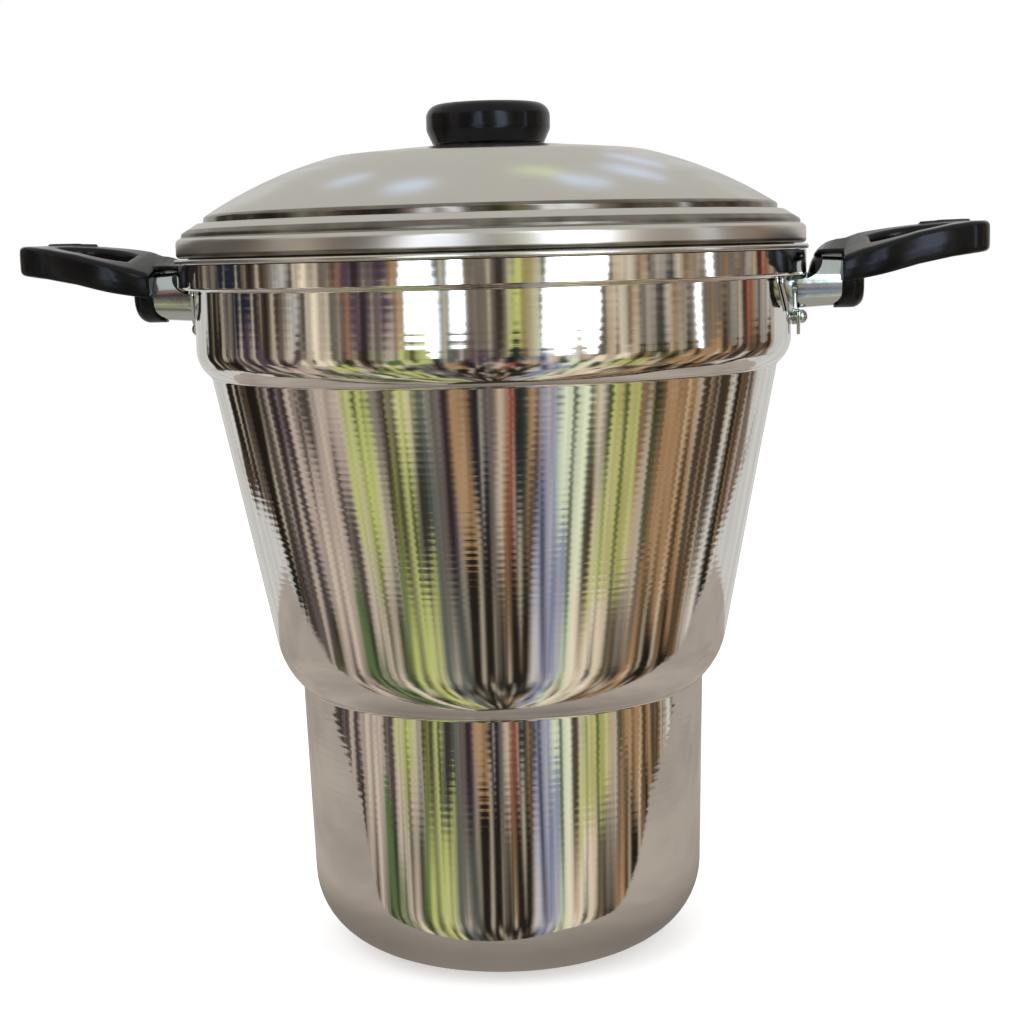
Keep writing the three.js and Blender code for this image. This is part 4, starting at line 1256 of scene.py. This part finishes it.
def handle_hood():
    """The sloping top over the ferrule, lofted from its tip at the pot out to the loop."""
    verts = []
    for reach, rise in HOOD_PLACES:
        near = min(HOOD_NEAR_RISE, rise)
        low = min(near - HOOD_THICK, FERRULE_RADIUS + SEAT_GAP)
        along = min(1, (reach - HOOD_PLACES[0][0]) / hood_tip_length)
        share = HOOD_TIP_SHARE + (1 - HOOD_TIP_SHARE) * math.sqrt(along)
        width = HOOD_NEAR_WIDTH * share
        far = HOOD_FAR_WIDTH * share
        section = [(-width, near - HOOD_THICK), (-width, near), (far, rise), (far, low - HOOD_THICK * 2)]
        verts += [(COLLAR_RADIUS + reach, y, ferrule_height + z) for y, z in section]
    corners = len(section)
    ends = [tuple(range(corners)), tuple(reversed(range(len(verts) - corners, len(verts))))]
    return make_object("hood", verts, wrapped_faces(len(HOOD_PLACES), corners) + ends)


def handle_boss():
    boss = spun_outwards("boss", rounded([
        (0, boss_start), (BOSS_RADIUS, boss_start),
        (BOSS_RADIUS, boss_end, BOSS_ROUND), (0, boss_end),
    ]))
    lip = spun_outwards("boss_lip", rod_outline(BOSS_RADIUS, boss_start, boss_start + BOSS_ROUND))
    for v in lip.data.vertices:
        if v.co.x < boss_start + SEAT_GAP:
            under = max(0, ferrule_height - v.co.z) / BOSS_RADIUS
            v.co.x -= BOSS_LIP * under ** BOSS_LIP_SQUARENESS
    return [boss, lip]


def handle_pieces():
    """The handle's moulding, cut out for ferrule and screw, its neck inside them, and its root."""
    parts = [handle_loop(), handle_hood(), *handle_boss()]
    moulding = remeshed(joined("handle_moulding_right", parts), HANDLE_SMOOTHING)
    start = bracket_face + FERRULE_FOOT_GAP
    cut_by(moulding, spun_outwards("seat", rounded([
        (0, start), (FERRULE_RADIUS + SEAT_GAP, start),
        (FERRULE_END_RADIUS + SEAT_GAP, ferrule_end + SEAT_GAP),
        (0, ferrule_end + SEAT_GAP),
    ])))
    head_bore = HANDLE_SCREW_HEAD_RADIUS + SEAT_GAP
    bore = rod_outline(head_bore, boss_end - SCREW_HEAD_DEPTH, boss_end + BOSS_LENGTH)
    cut_by(moulding, spun_outwards("bore", bore))
    smooth(moulding, 2 * SMOOTH_ANGLE)
    neck_radius = FERRULE_END_RADIUS - FERRULE_WALL - SEAT_GAP
    neck_start = COLLAR_RADIUS + ROOT_PLACES[-1][0]
    neck = spun_outwards("handle_neck_right", rounded([
        (0, neck_start), (neck_radius, neck_start, SEAT_GAP),
        (neck_radius, boss_start + BOSS_ROUND), (0, boss_start + BOSS_ROUND),
    ]))
    nose = [(radius, COLLAR_RADIUS + reach) for reach, radius in ROOT_PLACES]
    end = COLLAR_RADIUS + RELIEF_RADIUS
    outline = rounded([(0, nose[0][1]), *nose, (nose[-1][0], end), (0, end)])
    root = spun_outwards("handle_root_right", outline)
    cut_by(root, relief_roller(RELIEF_RADIUS - SEAT_GAP), "INTERSECT")
    return [moulding, neck, root]


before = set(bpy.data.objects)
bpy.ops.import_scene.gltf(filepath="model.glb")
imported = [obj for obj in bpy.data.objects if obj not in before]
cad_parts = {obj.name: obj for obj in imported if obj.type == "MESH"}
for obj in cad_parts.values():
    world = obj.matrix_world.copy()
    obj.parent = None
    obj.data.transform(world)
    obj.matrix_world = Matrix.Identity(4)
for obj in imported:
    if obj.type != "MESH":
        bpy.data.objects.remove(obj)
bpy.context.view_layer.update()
bpy.context.scene.view_settings.view_transform = "Standard"
place_camera()
make_world()
make_room()
make_floor()
make_lamps()

polished = spun_metal(
    "polished_aluminium", (0.9, 0.89, 0.87), roughness=0.04, anisotropy=0.6, line_depth=1, comb_depth=1,
    combed=[
        (FOOT_HEIGHT * COMB_SHARE, FOOT_HEIGHT - COMB_FADE / 2),
        (cone_top_height * COMB_SHARE, rim_height),
    ],
)
satin = spun_metal(
    "satin_aluminium", (0.8, 0.79, 0.76), roughness=0.13, anisotropy=0.3, line_depth=1.6, comb_depth=0,
    downwards=True,
    # Grime and painted shade: dark brown bands in the groove at the dome's foot, on the ring's outer riser
    # and under the bead
    grime_and_shade_bands=[
        ("radius", dome_foot_radius - GROOVE_WIDTH, ring_inner_radius + GROOVE_DEPTH),
        ("radius", ring_outer_radius - 2 * GROOVE_WIDTH, ring_outer_radius),
        ("height", rim_height, lid_foot + BEAD_FOOT_BEND),
    ],
    edge_radius=ring_inner_radius + GROOVE_WIDTH, edge_roughness=0.28,
)
basket_metal = spun_metal(
    "basket_aluminium", (0.84, 0.83, 0.81), roughness=0.2, anisotropy=0.5, line_depth=1.4, comb_depth=0.4,
)
bakelite = bakelite_material()
zinc = plated_material("zinc_plate", (0.7, 0.78, 0.81), 0.15)
steel = plated_material("steel", (0.58, 0.58, 0.59), 0.28)

pot = spun("pot_shell", pot_wall(0) + list(reversed(pot_wall(POT_WALL))))
dress(pot, "pot", polished, "polished_aluminium", "pot_body")
dress(steamer_basket(), "steamer", basket_metal, "satin_aluminium", "steamer_basket")
lid = spun("lid_spinning", lid_outline(), SPUN_SIDES, True)
dress(lid, "lid", satin, "satin_aluminium", "lid_shell")
knob = spun("knob_moulding", knob_outline(), TURNED_SIDES)
dress(knob, "lid", bakelite, "bakelite", "lid_knob")

screw = spun("knob_screw_turned", screw_outline(
    KNOB_SCREW_RADIUS, knob_screw_top, washer_top - WASHER_THICK - SEAT_GAP,
    KNOB_SCREW_HEAD_RADIUS, KNOB_SCREW_HEAD_HEIGHT,
), SMALL_SIDES)
dress(screw, "lid", steel, "steel", "knob_screw")
washer = spun("knob_washer_turned", tube_outline(
    KNOB_SCREW_RADIUS + SEAT_GAP, WASHER_RADIUS, washer_top - WASHER_THICK, washer_top, SEAT_GAP,
), TURNED_SIDES, True)
dress(washer, "lid", steel, "steel", "knob_washer")

handle_screw = screw_outline(
    HANDLE_SCREW_RADIUS, bracket_face + SEAT_GAP, boss_end - SCREW_HEAD_DEPTH + SEAT_GAP,
    HANDLE_SCREW_HEAD_RADIUS, HANDLE_SCREW_HEAD_HEIGHT,
)
tongue_face = belt_radius + TONGUE_STANDOFF + BRACKET_SHEET
half_spacing = SIDE_RIVET_SPACING / 2
side_rivet = (SIDE_RIVET_DROP, bracket_face, SIDE_RIVET_HEAD_RADIUS, SIDE_RIVET_HEAD_HEIGHT)
rivets = [
    ("low", 0, LOW_RIVET_DROP, tongue_face, LOW_RIVET_HEAD_RADIUS, LOW_RIVET_HEAD_HEIGHT),
    ("a", -half_spacing, *side_rivet),
    ("b", half_spacing, *side_rivet),
]
right_pieces = [
    *[(piece, bakelite, "bakelite", "handle") for piece in handle_pieces()],
    (ferrule(), zinc, "zinc_plate", "ferrule"),
    (spun_outwards("handle_screw_turned_right", handle_screw, SMALL_SIDES), steel, "steel", "handle_screw"),
    *[(rivet(f"rivet_{name}_right", *sizes), zinc, "zinc_plate", f"bracket_rivet_{name}")
      for name, *sizes in rivets],
    *[(piece, zinc, "zinc_plate", "bracket") for piece in bracket_pieces()],
]
for piece, material, slot, node in right_pieces:
    twin = mirror_copy(piece, piece.name.replace("_right", "_left"))
    dress(piece, "pot", material, slot, f"{node}_right")
    dress(twin, "pot", material, slot, f"{node}_left")
